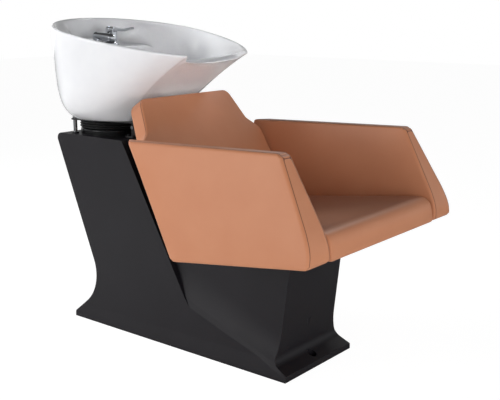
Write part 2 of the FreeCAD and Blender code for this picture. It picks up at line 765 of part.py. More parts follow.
def basin_bowl():
    """Glazed ceramic bowl: tilted egg-shaped rim, neck recess at the front, tap deck and hollow behind."""
    rim = {
        "x": size("rim_x"), "z": size("rim_z"), "tilt": size("rim_tilt"), "rear_x": size("rim_x - rim_rear"),
        "front_x": size("neck_x"), "half": size("rim_half"), "front_half": size("neck_half"),
    }
    foot = {
        "x": size("bowl_base_x"), "z": size(BOWL_BASE_Z), "tilt": 0, "rear_x": size("bowl_base_x - bowl_base_rear"),
        "front_x": size("bowl_base_x + bowl_base_front"), "half": size("bowl_base_half"),
        "front_half": size("bowl_base_front_half"),
    }
    solid = bowl_form(rim, foot, BOWL_SHARES)

    wall = size("rim_wall")
    mouth = dict(rim, x=size("basin_x"), rear_x=size("tap_deck_edge_x"), front_x=rim["front_x"] - 2 * wall,
                 half=rim["half"] - wall, front_half=rim["front_half"] - wall)
    floor = {
        "x": size("drain_x"), "z": size("drain_floor_z"), "tilt": 0, "rear_x": size("drain_x - drain_floor_rear"),
        "front_x": size("drain_x + drain_floor_front"), "half": size("basin_floor_half"),
        "front_half": size("drain_radius"),
    }
    hollow = bowl_form(mouth, floor, (ABOVE_RIM,) + BOWL_SHARES)

    top = dict(rim, rear_x=rim["rear_x"] + wall, front_x=mouth["front_x"], half=mouth["half"],
               front_half=mouth["front_half"])
    deck_drop = math.tan(math.radians(size("deck_level_tilt")))
    deck = dict(top, z=size("deck_level_z") - (rim["x"] - size("deck_level_x")) * deck_drop,
                tilt=size("deck_level_tilt"), rear_x=top["rear_x"] + wall, front_x=size("deck_level_front_x"),
                half=top["half"] - wall)
    lift = size("rim_z - deck_level_z")
    tray = Part.makeLoft([egg(s["x"], s["z"] + rise, s["tilt"], s["x"] - s["rear_x"], s["front_x"], s["half"],
                              s["front_half"]) for s, rise in ((top, lift), (top, 0), (deck, 0))], True, True)

    neck_start, neck_depth = size("neck_x - neck_half"), size("neck_half + rim_wall")
    neck_round = Part.makeCylinder(size("neck_radius"), neck_depth,
                                   V(neck_start, 0, size("neck_low_z + neck_radius")), V(1, 0, 0))
    neck = neck_round.common(Part.makeBox(neck_depth, 2 * mouth["front_half"], size("neck_half"),
                                          V(neck_start, -mouth["front_half"], size("neck_low_z - rim_wall"))))
    deck_place = FreeCAD.Placement(V(size("deck_level_x"), 0, size("deck_level_z")),
                                   FreeCAD.Rotation(V(0, 1, 0), size("deck_level_tilt")))
    rear, front = size("tap_cavity_rear_x"), size("tap_cavity_front_x")
    low, high = size(BOWL_BASE_Z + " - bowl_pad_thick"), size("tap_cavity_low_z")
    under_deck = Part.makeBox(front - rear, size("2 * tap_cavity_half"), size("deck_level_z") - high,
                              V(rear, -size("tap_cavity_half"), high))
    deck_slab = Part.makeBox(size("rim_rear"), size("2 * rim_half"), size("deck_level_z"),
                             V(-size("rim_rear / 2"), -size("rim_half"), -size("deck_wall")))
    deck_slab.Placement = deck_place
    pipe_bay = Part.makeBox(front - rear, size("2 * pipe_bay_half"), high + size("deck_wall") - low,
                            V(rear, -size("pipe_bay_half"), low))
    depth = size("2 * deck_wall")
    tap_hole = Part.makeCylinder(size("mixer_shank + hole_slack"), 2 * depth, V(0, 0, -depth))
    tap_hole.Placement = deck_place
    spray_hole = Part.makeCylinder(size("socket_shank + hole_slack"), 2 * depth,
                                   V(size("spray_x"), size("spray_y"), -depth))
    spray_hole.Placement = deck_place
    drain = Part.makeCylinder(size("drain_radius"), size("drain_floor_z") - low + depth, V(size("drain_x"), 0, low))
    bowl = doc.addObject("Part::Feature", "basin_bowl")
    bowl.Shape = solid.cut([hollow, tray, neck, under_deck.cut(deck_slab), pipe_bay, tap_hole, spray_hole, drain])
    piece("basin_bowl", bowl)


def drain_fittings():
    """Flanged waste with a seat for the hair strainer, clamped through the bowl's floor by a gasket and nut."""
    tail = "(drain_tail_z - drain_floor_z)"
    tube = "drain_radius - hole_slack"
    waste = turned("waste", [
        ("drain_bore", tail),
        (tube, tail),
        (tube, "0"),
        ("flange_radius", "0"),
        ("strainer_radius + 2 * flange_thick", "flange_thick"),
        ("strainer_radius + hole_slack", "flange_thick"),
        ("strainer_radius + hole_slack", "-strainer_seat"),
        ("drain_bore", "-strainer_seat"),
    ])
    piece("waste_flange", stand(waste, LEVEL, "drain_x", "0", "drain_floor_z"))
    gasket = turned("gasket", rectangle("drain_radius", "nut_radius", "-gasket_thick", "0"))
    piece("waste_gasket", stand(gasket, LEVEL, "drain_x", "0", BOWL_BASE_Z))
    nut = turned("waste_lock_nut", rectangle(f"{tube} + pin_slack", "nut_radius", "-nut_height", "0"))
    piece("waste_nut", stand(nut, LEVEL, "drain_x", "0", f"{BOWL_BASE_Z} - gasket_thick"))

    knob = "strainer_radius / 5"
    sieve = turned("sieve", [
        ("0", "0"),
        ("strainer_radius", "0"),
        ("strainer_radius", "strainer_thick"),
        (knob, "strainer_thick"),
        (knob, "3 * strainer_thick", "strainer_thick / 2"),
        ("0", "3 * strainer_thick"),
    ])
    count = int(size("strainer_holes"))
    holes = [cylinder("sieve_hole", "strainer_hole", "4 * strainer_thick", LEVEL,
                      f"drain_x + strainer_radius * 0.6 * cos({360 * hole / count})",
                      f"strainer_radius * 0.6 * sin({360 * hole / count})",
                      "drain_floor_z - strainer_seat - strainer_thick") for hole in range(count)]
    stand(sieve, LEVEL, "drain_x", "0", "drain_floor_z - strainer_seat")
    piece("hair_strainer", cut("hair_strainer", sieve, holes))


CAP_BASE = "(mixer_height + run_gap)"


def mixer_tap():
    """Single lever mixer: fixed body and nut, a cap that swivels on it, and the lever that lifts in the cap."""
    tap = turned("tap", [
        ("0", "-mixer_shank_length"),
        ("mixer_shank", "-mixer_shank_length"),
        ("mixer_shank", "0"),
        ("mixer_foot_radius", "0"),
        ("mixer_foot_radius", "mixer_foot_height", "mixer_foot_height / 2"),
        ("mixer_radius", "mixer_foot_height", "mixer_foot_height / 2"),
        ("mixer_radius", "mixer_height"),
        ("0", "mixer_height"),
    ])
    piece("mixer_body", stand(tap, TAP_DECK))
    nut = turned("tap_nut", rectangle("mixer_shank + pin_slack", "tap_nut_radius", "-deck_wall - tap_nut_height",
                                 "-deck_wall"))
    piece("mixer_nut", stand(nut, TAP_DECK))

    dome = turned("cap", [
        ("0", CAP_BASE),
        ("mixer_radius", CAP_BASE),
        ("mixer_radius", f"{CAP_BASE} + cap_height", "cap_height / 3"),
        ("0", f"{CAP_BASE} + cap_height"),
    ])
    slot = padded("cap_slot", "XZ_Plane", rectangle(
        "-1.5 * lever_root", "2 * mixer_radius", f"{CAP_BASE} + cap_floor", f"{CAP_BASE} + 2 * cap_height"),
        "cap_slot", both_ways=True)
    axle = [crossbar("cap_bore", "lever_pin", "4 * mixer_radius", TAP_DECK, "0", f"{CAP_BASE} + lever_pivot")]
    piece("mixer_cap", cut("mixer_cap", stand(dome, TAP_DECK), [stand(slot, TAP_DECK)] + axle))
    piece("lever_pin", crossbar("lever_pin", "lever_pin - pin_slack", "1.6 * mixer_radius", TAP_DECK, "0",
                                f"{CAP_BASE} + lever_pivot"))
    bend = "0.6 * lever_length"
    arm = padded("lever_arm", "XZ_Plane", [
        ("-lever_root", f"{CAP_BASE} + lever_pivot - lever_root", "0.9 * lever_root"),
        (bend, f"{CAP_BASE} + lever_rise", "2 * lever_thick"),
        ("lever_length", f"{CAP_BASE} + lever_tip_rise"),
        ("lever_length - lever_thick / 3", f"{CAP_BASE} + lever_tip_rise + 0.7 * lever_thick"),
        (f"{bend} - lever_thick / 3", f"{CAP_BASE} + lever_rise + lever_thick", "3 * lever_thick"),
        ("-lever_root", f"{CAP_BASE} + lever_pivot + lever_root", "0.9 * lever_root"),
    ], "lever_width", both_ways=True)
    bore = crossbar("lever_bore", "lever_pin", "4 * mixer_radius", TAP_DECK, "0", f"{CAP_BASE} + lever_pivot")
    piece("mixer_lever", cut("mixer_lever", stand(arm, TAP_DECK), [bore]))


def hand_spray():
    """Hand spray docked in a socket on the tap deck: a handle through the socket and a head that points forwards."""
    dock = turned("dock", [
        ("spray_handle + hole_slack", "-deck_wall - 2 * tap_nut_height"),
        ("socket_shank", "-deck_wall - 2 * tap_nut_height"),
        ("socket_shank", "0"),
        ("socket_radius", "0"),
        ("socket_radius", "socket_height", "socket_height / 4"),
        ("spray_handle + hole_slack", "socket_height"),
    ])
    piece("spray_socket", stand(dock, TAP_DECK, "spray_x", "spray_y"))
    nut = turned("dock_nut", rectangle("socket_shank + pin_slack", "socket_radius + run_gap",
                                       "-deck_wall - tap_nut_height", "-deck_wall"))
    piece("socket_nut", stand(nut, TAP_DECK, "spray_x", "spray_y"))

    handle = cylinder("spray_handle", "spray_handle", "spray_tail + spray_neck", TAP_DECK, "spray_x", "spray_y",
                      "-spray_tail")
    elbow = doc.addObject("Part::Sphere", "spray_elbow")
    elbow.setExpression("Radius", bind("1.05 * spray_handle"))
    stand(elbow, TAP_DECK, "spray_x", "spray_y", "spray_neck")
    barrel = doc.addObject("Part::Cone", "spray_barrel")
    barrel.setExpression("Radius1", bind("0.95 * spray_handle"))
    barrel.setExpression("Radius2", bind("spray_head"))
    barrel.setExpression("Height", bind("spray_reach"))
    stand(barrel, TAP_DECK, "spray_x", "spray_y", "spray_neck", "-90")
    dome = doc.addObject("Part::Sphere", "spray_dome")
    dome.setExpression("Radius", bind("spray_head"))
    stand(dome, TAP_DECK, "spray_x + spray_reach", "spray_y", "spray_neck")
    low = "spray_neck - spray_head"
    seat = cylinder("spray_face_seat", "spray_face", "spray_face_thick + spray_head / 2", TAP_DECK,
                    "spray_x + spray_reach", "spray_y", f"{low} - spray_head / 2")
    body = fuse("spray_form", [handle, elbow, barrel, dome])
    piece("hand_spray", cut("hand_spray", body, [seat]))
    piece("spray_face", cylinder("spray_face", "spray_face - pin_slack", "spray_face_thick", TAP_DECK,
                                 "spray_x + spray_reach", "spray_y", low))


BAR_HALF = "(arm_low_inner - soft_gap)"
BOARD_LOW = "(rail_size + bar_thick)"
BOARD_TOP = "(rail_size + bar_thick + board_thick)"


def arm_bolts(radius, length, start):
    """Round bars along the four bolts that hold the arms, from a distance across the unit outwards."""
    bars = []
    for along in ("bar_rear", "bar_front"):
        for side in SIDES:
            bars.append(crossbar("arm_bolt_bar", radius, length, SEAT, f"{along} + bar_width / 2", "arm_bolt_w",
                                 f"{side} * ({start} + ({length}) / 2)"))
    return bars


def seat_frame():
    """Welded steel frame: two square tubes along the seat and two flat bars with ears that carry the arms."""
    members = []
    for side in SIDES:
        outer = padded("rail_outer", "YZ_Plane", rectangle(
            f"{side} * rail_y - rail_size / 2", f"{side} * rail_y + rail_size / 2", "0", "rail_size"),
            "rail_length", "rail_start")
        inner = padded("rail_inner", "YZ_Plane", rectangle(
            f"{side} * rail_y - rail_size / 2 + rail_wall", f"{side} * rail_y + rail_size / 2 - rail_wall",
            "rail_wall", "rail_size - rail_wall"), "2 * rail_length", "-rail_length / 2")
        members.append(cut("rail", stand(outer, SEAT), [stand(inner, SEAT)]))
    for along in ("bar_rear", "bar_front"):
        bar = padded("frame_bar", "XY_Plane", rectangle(along, f"{along} + bar_width", f"-{BAR_HALF}", BAR_HALF),
                     "bar_thick", "rail_size")
        members.append(stand(bar, SEAT))
        for side in SIDES:
            edges = sorted((f"{side} * {BAR_HALF}", f"{side} * ({BAR_HALF} - ear_thick)"), key=size)
            ear = padded("frame_ear", "XY_Plane", rectangle(along, f"{along} + bar_width", *edges),
                         "arm_bolt_w + bar_thick - rail_size", "rail_size")
            members.append(stand(ear, SEAT))
    tools = frame_bolts("frame_bolt + hole_slack", "3 * rail_wall", "-rail_wall")
    tools += arm_bolts("frame_bolt + hole_slack", "3 * ear_thick", f"{BAR_HALF} - 2 * ear_thick")
    piece("seat_frame", cut("seat_frame", fuse("frame_members", members), tools))

    shanks = frame_bolts("frame_bolt", "frame_bolt_length", "-shell_wall")
    heads = frame_bolts("frame_bolt_head", "frame_bolt", "-shell_wall - frame_bolt")
    bolts = [fuse("frame_bolt", [shank, head]) for shank, head in zip(shanks, heads)]
    piece("frame_bolts", group("frame_bolts", bolts))
    shanks = arm_bolts("frame_bolt", "arm_bolt_length", f"{BAR_HALF} - ear_thick")
    heads = arm_bolts("frame_bolt_head", "frame_bolt", f"{BAR_HALF} - ear_thick - frame_bolt")
    bolts = [fuse("arm_bolt", [shank, head]) for shank, head in zip(shanks, heads)]
    piece("arm_bolts", group("arm_bolts", bolts))

    board = padded("board", "XY_Plane", rectangle(
        "board_rear", "board_front", "-board_half", "board_half", "bracket_round"), "board_thick", BOARD_LOW)
    piece("seat_board", stand(board, SEAT))


def seat_cushion():
    """Seat pad with a crown, drawn in at the sides, that turns down over the board's front as an apron."""
    lean = "(back_tilt - seat_pitch)"
    low = f"({BOARD_TOP} + soft_gap)"
    inside = "board_front + soft_gap"

    def section(v, crown, draw):
        top = f"(cushion_top + {crown} - {draw})"
        rear_low = f"back_foot_u + ({low} - back_foot_w) * -tan({lean}) + 2 * soft_gap + {draw}"
        rear_top = f"back_foot_u + ({top} - back_foot_w) * -tan({lean}) + 2 * soft_gap + {draw}"
        corners = [
            (rear_low, low),
            (inside, low),
            (inside, f"apron_low + {draw}"),
            (f"cushion_front - {draw}", f"apron_low + {draw}", "apron_round"),
            (f"cushion_front - apron_round - {draw}", top, "cushion_nose"),
            (rear_top, top, "apron_round"),
        ]
        return corners, ("0", "0", v), "0"

    swell = "(seat_half - 3 * cushion_draw)"
    sections = [
        section("-seat_half", "0", "cushion_draw"),
        section(f"-{swell}", "0", "0"),
        section(f"-{swell} / 2", "0.75 * cushion_crown", "0"),
        section("0", "cushion_crown", "0"),
        section(f"{swell} / 2", "0.75 * cushion_crown", "0"),
        section(swell, "0", "0"),
        section("seat_half", "0", "cushion_draw"),
    ]
    piece("seat_cushion", stand(lofted("seat_pad", "XZ_Plane", sections), SEAT))


def between(low, high, share):
    return f"({low} + {share} * ({high} - {low}))"


def arms():
    """Upholstered arms: leaning panels, thick below and thin above, full on the sides and drawn in at the ends.

    Each row is a height's share, how far its edges draw in, how far its front bows out, and its swell.
    """
    shapes = ((0, 1, 0, 0), (0.02, 0.35, 0.12, 0), (0.06, 0, 0.38, 0), (0.12, 0, 0.75, 0.2), (0.2, 0, 0.96, 0.5),
              (0.32, 0, 1, 0.8), (0.5, 0, 0.73, 1), (0.95, 0, 0.07, 0), (0.985, 0.35, 0.02, 0), (1, 1, 0, 0))
    for side, label in zip(SIDES, ("right_arm", "left_arm")):
        sections = []
        for share, draw, bow, swell in shapes:
            rear_x = between("arm_low_rear_x", "arm_top_rear_x", share)
            rear_z = between("arm_low_rear_z", "arm_top_rear_z", share)
            run = f"({between('arm_low_front_x', 'arm_top_front_x', share)} + {bow} * arm_bow - {rear_x})"
            rise = f"({between('arm_low_front_z', 'arm_top_front_z', share)} - {rear_z})"
            inset = f"{draw} * arm_draw"
            inner = f"{side} * ({between('arm_low_inner', 'arm_top_inner', share)} + {inset})"
            outer = f"{side} * ({between('arm_low_outer', 'arm_top_outer', share)} - {inset} + {swell} * arm_swell)"
            front = f"sqrt({run} * {run} + {rise} * {rise}) - {inset}"
            corners = [
                (f"{inset} - arm_rear_skew", inner, "arm_round"),
                (front, inner, "arm_round"),
                (front, outer, "arm_round"),
                (inset, outer, "arm_rear_round"),
            ]
            if side < 0:
                corners.reverse()
            sections.append((corners, (rear_x, "0", rear_z), f"atan({rise} / {run})"))
        panel = lofted(label + "_panel", "XY_Plane", sections)
        piece(label, cut(label, panel, arm_bolts("frame_bolt + hole_slack", "arm_bolt_length", BAR_HALF)))


def backrest():
    """Leaning backrest: a crowned pad that narrows above the arms, its board, and two steel brackets."""
    def section(depth, draw):
        corners = both_sides([
            (f"back_low_half - {draw}", draw, "back_round / 2"),
            (f"back_low_half - {draw}", f"back_shoulder - {draw} / 2", "back_round / 2"),
            (f"back_neck_half - {draw}", f"back_neck - {draw} / 2", "back_round / 2"),
            (f"back_top_half - {draw}", f"back_height - {draw}", "back_round"),
        ])
        return corners, ("0", "0", depth), "0"

    sections = [
        section("-back_thick", "back_draw"),
        section("-back_thick + back_draw", "0"),
        section("-back_draw", "0"),
        section("-back_draw / 4", "back_draw / 3"),
        section("0", "back_draw"),
        section("back_crown", "10 * back_draw"),
    ]
    piece("backrest", stand(lofted("back_pad", "YZ_Plane", sections), BACKREST))

    margin = "back_board_margin"
    sheet_wood = padded("back_sheet", "YZ_Plane", both_sides([
        (f"back_low_half - {margin}", margin),
        (f"back_low_half - {margin}", f"back_shoulder - {margin}"),
        (f"back_neck_half - {margin}", "back_neck"),
        (f"back_top_half - {margin}", f"back_height - {margin}", "back_round"),
    ]), "back_board_thick", "-back_thick - soft_gap - back_board_thick")
    piece("back_board", stand(sheet_wood, BACKREST))

    lean = "(back_tilt - seat_pitch)"
    behind = "(back_thick + soft_gap + back_board_thick)"
    low = "(rail_size + back_flat_thick)"
    high = f"({low} + back_flat_height)"

    def face(w):
        return f"(back_foot_u - {behind} * cos({lean}) - ({w} - back_foot_w + {behind} * sin({lean})) * tan({lean}))"

    thick = f"back_flat_thick / cos({lean})"
    bracket_outline = [
        ("rail_start", "rail_size"),
        ("rail_start + back_foot_length", "rail_size"),
        ("rail_start + back_foot_length", low),
        (face(low), low),
        (face(high), high),
        (f"{face(high)} - {thick}", high),
        (f"{face(low)} - {thick}", low),
        ("rail_start", low),
    ]
    brackets = [stand(padded("back_flat", "XZ_Plane", bracket_outline, "back_flat_width", f"{side} * rail_y",
                             both_ways=True), SEAT) for side in SIDES]
    piece("back_brackets", group("back_brackets", brackets))


base_shell()
plumbing_cover()
collar_and_bellows()
tilt_hinge()
tilt_rods()
basin_bowl()
drain_fittings()
mixer_tap()
hand_spray()
seat_frame()
seat_cushion()
arms()
backrest()
doc.recompute()

for thing in doc.Objects:
    if "Invalid" in thing.State or "Error" in thing.State:
        raise RuntimeError(f"{thing.Name} failed: {thing.State}")
for thing in pieces:
    if thing.Shape.isNull() or not thing.Shape.isValid():
        raise RuntimeError(f"{thing.Label} has no valid shape")

os.makedirs("parts", exist_ok=True)
for thing in pieces:
    thing.Shape.exportStep(os.path.join("parts", thing.Label + ".step"))
    print(thing.Label, len(thing.Shape.Solids), round(thing.Shape.Volume))
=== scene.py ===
import math

import bpy
import numpy as np
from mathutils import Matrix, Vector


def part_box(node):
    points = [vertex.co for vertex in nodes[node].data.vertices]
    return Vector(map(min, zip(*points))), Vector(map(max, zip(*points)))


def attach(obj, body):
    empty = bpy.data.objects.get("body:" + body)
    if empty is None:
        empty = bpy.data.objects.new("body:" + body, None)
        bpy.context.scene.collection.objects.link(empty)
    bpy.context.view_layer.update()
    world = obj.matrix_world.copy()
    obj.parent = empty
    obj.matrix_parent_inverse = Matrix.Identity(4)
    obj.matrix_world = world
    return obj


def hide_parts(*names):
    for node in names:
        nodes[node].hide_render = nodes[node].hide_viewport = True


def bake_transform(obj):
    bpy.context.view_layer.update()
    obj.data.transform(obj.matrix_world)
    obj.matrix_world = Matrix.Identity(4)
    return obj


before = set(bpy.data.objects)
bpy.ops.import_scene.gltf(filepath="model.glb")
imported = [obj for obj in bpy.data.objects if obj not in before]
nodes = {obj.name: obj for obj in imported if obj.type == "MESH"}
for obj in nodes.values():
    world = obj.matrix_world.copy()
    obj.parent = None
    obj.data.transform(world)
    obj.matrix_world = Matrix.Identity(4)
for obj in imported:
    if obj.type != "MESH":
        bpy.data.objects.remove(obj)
scene = bpy.context.scene
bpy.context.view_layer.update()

# Base and plumbing cover. A hollow shell with a flared foot, a front pedestal and a proud rear column,
# moulded in one piece from black ABS, and a flat cover of the same plastic screwed on at the back.


def linear(colour):
    """An sRGB hex colour as linear red, green, blue and alpha: each channel goes through the sRGB curve."""
    channels = np.array([int(colour[at:at + 2], 16) for at in (1, 3, 5)]) / 255
    curve = np.where(channels <= 0.04045, channels / 12.92, ((channels + 0.055) / 1.055) ** 2.4)
    return (*curve, 1.0)


def add(tree, kind, inputs, **settings):
    """Adds a node to a tree with its settings, and fills its inputs with values or other nodes' outputs."""
    node = tree.nodes.new("ShaderNode" + kind)
    for name, value in settings.items():
        setattr(node, name, value)
    for name, value in inputs.items():
        if isinstance(value, bpy.types.NodeSocket):
            tree.links.new(value, node.inputs[name])
        else:
            node.inputs[name].default_value = value
    return node


def noise(tree, at, size, detail, **more):
    """The value of a cloudy pattern whose clouds are about this many metres across."""
    return add(tree, "TexNoise", {"Vector": at, "Scale": 1 / size, "Detail": detail, **more}).outputs["Fac"]


def two_tone(tree, factor, one, two):
    """A colour that goes with a pattern from one hex colour to another."""
    mix = add(tree, "Mix", {"Factor": factor, "A": linear(one), "B": linear(two)}, data_type="RGBA")
    return mix.outputs["Result"]


def ranged(tree, value, low, high, first=0.0, last=1.0, **settings):
    """A pattern's value with its range from first to last stretched to the range from low to high."""
    inputs = {"Value": value, "From Min": first, "From Max": last, "To Min": low, "To Max": high}
    return add(tree, "MapRange", inputs, **settings).outputs["Result"]


def bumped(tree, height, strength, depth, over=None, **settings):
    """The normals of a pattern pressed into a surface this many metres deep, over other such normals."""
    inputs = {"Height": height, "Strength": strength, "Distance": depth}
    if over is not None:
        inputs["Normal"] = over
    return add(tree, "Bump", inputs, **settings).outputs["Normal"]


def finish_of(name, **surface):
    """A new material, its tree, its Object coordinates and its surface shader with the given constants."""
    material = bpy.data.materials.new(name)
    material.use_nodes = True
    tree = material.node_tree
    shader = tree.nodes["Principled BSDF"]
    for socket, value in surface.items():
        shader.inputs[socket.replace("_", " ")].default_value = value
    return material, tree, add(tree, "TexCoord", {}).outputs["Object"], shader


def drive(tree, shader, **surface):
    """Links patterns to the inputs of a material's surface shader."""
    for socket, output in surface.items():
        tree.links.new(output, shader.inputs[socket.replace("_", " ")])


def dress(material, *names):
    """Puts one material on CAD nodes."""
    for name in names:
        nodes[name].data.materials.clear()
        nodes[name].data.materials.append(material)


# Moulded ABS from a spark-eroded mould: near black, with a satin grain that breaks up the highlights.
# The grain is about 0.5 mm across and is drawn at 1.6 mm so that it shows.
abs_black, tree, at, shader = finish_of("moulded_abs_black", Specular_IOR_Level=0.3)
grain = noise(tree, at, size=0.0016, detail=3.0, Roughness=0.6)
flow = noise(tree, at, size=0.12, detail=2.0)
drive(tree, shader, Base_Color=two_tone(tree, flow, "#141216", "#1A181D"),
      Roughness=ranged(tree, grain, low=0.40, high=0.52, first=0.3, last=0.7),
      Normal=bumped(tree, grain, strength=0.10, depth=0.0006))
dress(abs_black, "base_shell", "access_cover")

# Steel parts. The deck under the column's top, the hinge bracket with its bolts, the tilt plate, the welded
# seat frame and the backrest's brackets are cut and bent from mild steel and powder coated black.

# Powder coat: an even black film with the slight orange peel of melted powder, about 2 mm across.
powder_coat, tree, at, shader = finish_of("powder_coated_steel")
peel = noise(tree, at, size=0.002, detail=1.0)
dust = noise(tree, at, size=0.05, detail=3.0)
drive(tree, shader, Base_Color=two_tone(tree, dust, "#19191B", "#222224"),
      Roughness=ranged(tree, dust, low=0.32, high=0.48),
      Normal=bumped(tree, peel, strength=0.12, depth=0.0008))
dress(powder_coat, "deck_plate", "hinge_bracket", "tilt_plate", "hinge_bolts", "seat_frame", "back_brackets")

# Bolts and screws. Turned steel fasteners that hold the seat frame, the arms and the plumbing cover,
# zinc plated by the drum.

# Zinc plate: a pale bluish metal, lightly frosted where the pieces tumbled against each other.
zinc, tree, at, shader = finish_of("zinc_plated_steel", Metallic=1.0)
tumble = noise(tree, at, size=0.0015, detail=4.0)
drive(tree, shader, Base_Color=two_tone(tree, tumble, "#A9AEB5", "#C6C9CC"),
      Roughness=ranged(tree, tumble, low=0.22, high=0.42))
dress(zinc, "frame_bolts", "arm_bolts", "cover_screws")

# Rods and pins. The two tilt rods slide in bushes beside the bellows and are held by nuts at the tilt plate;
# they and the hinge's and lever's pins are ground steel bar with hard chrome.


def tool_rings(tree, at, pitch, distortion):
    """The value of fine rings round an upright piece, a pitch apart: the wave texture repeats itself
    every 2 pi / 20 of its scaled units."""
    inputs = {"Vector": at, "Scale": 2 * math.pi / 20 / pitch, "Distortion": distortion}
    return add(tree, "TexWave", inputs, bands_direction="Z").outputs["Fac"]


# Hard chrome on ground bar: bright, with faint rings round the bar from the grinding wheel.
hard_chrome, tree, at, shader = finish_of("hard_chromed_bar", Metallic=1.0)
rings = tool_rings(tree, at, pitch=0.00157914, distortion=1.5)
drive(tree, shader, Base_Color=two_tone(tree, rings, "#C9CDD2", "#DCDFE2"),
      Roughness=ranged(tree, rings, low=0.08, high=0.16))
dress(hard_chrome, "left_tilt_rod", "right_tilt_rod", "left_rod_nut", "right_rod_nut", "hinge_pin",
      "lever_pin")

# Rod bushes. The flanged guides of the two tilt rods, turned from black acetal and pressed into
# the column's top.

# Turned acetal: a waxy black plastic with fine tool rings.
acetal, tree, at, shader = finish_of("turned_acetal")
rings = tool_rings(tree, at, pitch=0.00118436, distortion=0.6)
drive(tree, shader, Base_Color=two_tone(tree, rings, "#131315", "#1D1D20"),
      Roughness=ranged(tree, rings, low=0.28, high=0.40))
dress(acetal, "rod_bushes")

# Collar. A smooth ring on the column's top that the bellows stands on, moulded from black ABS
# in a polished mould.

# Polished-mould ABS: deep black and glossy, with the slow waviness of shrinking plastic, about 15 mm long.
gloss_abs, tree, at, shader = finish_of("polished_abs_black", Specular_IOR_Level=0.3)
sink = noise(tree, at, size=0.015, detail=1.0)
drive(tree, shader, Base_Color=two_tone(tree, sink, "#0B0B0C", "#141416"),
      Roughness=ranged(tree, sink, low=0.16, high=0.26),
      Normal=bumped(tree, sink, strength=0.05, depth=0.001))
dress(gloss_abs, "basin_collar")

# Bellows, bowl pad and waste gasket. A ribbed sleeve that hides the tilt hinge between the collar and
# the bowl, a pad under the bowl and the drain's seal, all moulded in black nitrile rubber.


def mesh_object(name, points, faces, material):
    """A mesh object at the origin from arrays of points and faces, smooth shaded."""
    mesh = bpy.data.meshes.new(name)
    mesh.from_pydata(points, [], faces)
    mesh.polygons.foreach_set("use_smooth", np.ones(len(mesh.polygons), bool))
    mesh.materials.append(material)
    piece = bpy.data.objects.new(name, mesh)
    scene.collection.objects.link(piece)
    return piece


def closed_faces(rows, count):
    """The four-cornered faces of a grid of points whose last row and column join its first ones."""
    here = np.arange(rows * count).reshape(rows, count)
    over = np.roll(here, -1, axis=0)
    faces = np.stack([here, np.roll(here, -1, axis=1), np.roll(over, -1, axis=1), over], axis=-1)
    return faces.reshape(-1, 4)


def turned_skin(profile, centre, count):
    """A closed profile of (radius, height) points turned about an upright axis.

    Point (i, j) lies at the profile's radius i from the axis, at angle 2 pi j / count, at its height i.
    """
    angle = 2 * np.pi * np.arange(count) / count
    points = np.stack([centre[0] + np.outer(profile[:, 0], np.cos(angle)),
                       centre[1] + np.outer(profile[:, 0], np.sin(angle)),
                       np.repeat(profile[:, 1:], count, axis=1)], axis=-1).reshape(-1, 3)
    return points, closed_faces(len(profile), count)


# Nitrile rubber: matt black, faintly cloudy where talc from the mould is left.
rubber, tree, at, shader = finish_of("nitrile_rubber", Specular_IOR_Level=0.4)
talc = noise(tree, at, size=0.01, detail=5.0)
drive(tree, shader, Base_Color=two_tone(tree, talc, "#080808", "#151516"),
      Roughness=ranged(tree, talc, low=0.42, high=0.62))
dress(rubber, "bowl_pad", "waste_gasket")

# Three round ribs: the radius swings as a cosine between crest and groove, its crests a little fuller,
# outside and, a wall further in, inside.
rib_count, rib_depth, rib_fullness = 3, 0.005, 0.7
sleeve_wall = 0.003
rib_rows, rib_columns = 49, 128
low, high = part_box("bellows")
axis_x = (low.x + high.x) / 2
crest = (high.x - low.x) / 2
groove = crest - rib_depth
climb = np.linspace(0, 1, rib_rows)
swing = groove + (crest - groove) * (0.5 - 0.5 * np.cos(2 * np.pi * rib_count * climb)) ** rib_fullness
outside = np.stack([swing, low.z + (high.z - low.z) * climb], axis=-1)
inside = outside[::-1] - np.array([sleeve_wall, 0.0])
sleeve = turned_skin(np.concatenate([outside, inside]), (axis_x, 0.0), rib_columns)
bellows = mesh_object("bellows_sleeve", *sleeve, rubber)
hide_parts("bellows")
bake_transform(bellows)

# Bowl. A deep egg-shaped shampoo bowl with a neck recess and a tap deck, slip cast in vitreous china,
# glazed white and fired. It rests on its rubber pad and is held by the waste.

# Glazed china: white with a trace of blue, a hard clear gloss and the slow waviness of glaze that ran,
# 40 mm long.
china, tree, at, shader = finish_of("glazed_vitreous_china", IOR=1.52, Coat_Weight=0.3, Coat_Roughness=0.03)
pool = noise(tree, at, size=0.04, detail=1.0)
specks = noise(tree, at, size=0.004, detail=2.0)
drive(tree, shader, Base_Color=two_tone(tree, pool, "#EDEEF2", "#F3F4F6"),
      Roughness=ranged(tree, specks, low=0.09, high=0.15),
      Normal=bumped(tree, pool, strength=0.03, depth=0.002))

# The outside runs between the rim's and the foot's rings, the inside between the mouth's and the sump's.
# Each ring has its widest place at x and z, half its width there, its ends, and half of its straight front.
rim = {"x": -0.262, "z": 0.884, "rear_x": -0.476, "half": 0.271, "front_x": 0.062, "front_half": 0.131}
foot = {"x": -0.350, "z": 0.623, "rear_x": -0.450, "half": 0.135, "front_x": -0.225, "front_half": 0.080}
mouth = {"x": -0.215, "z": 0.884, "rear_x": -0.335, "half": 0.261, "front_x": 0.042, "front_half": 0.121}
sump = {"x": -0.305, "z": 0.645, "rear_x": -0.343, "half": 0.125, "front_x": -0.240, "front_half": 0.022}
rim_tilt, lip, lip_turns = 10.06, 0.006, (15, 165)
drain_radius, drain_chord = 0.022, 0.9

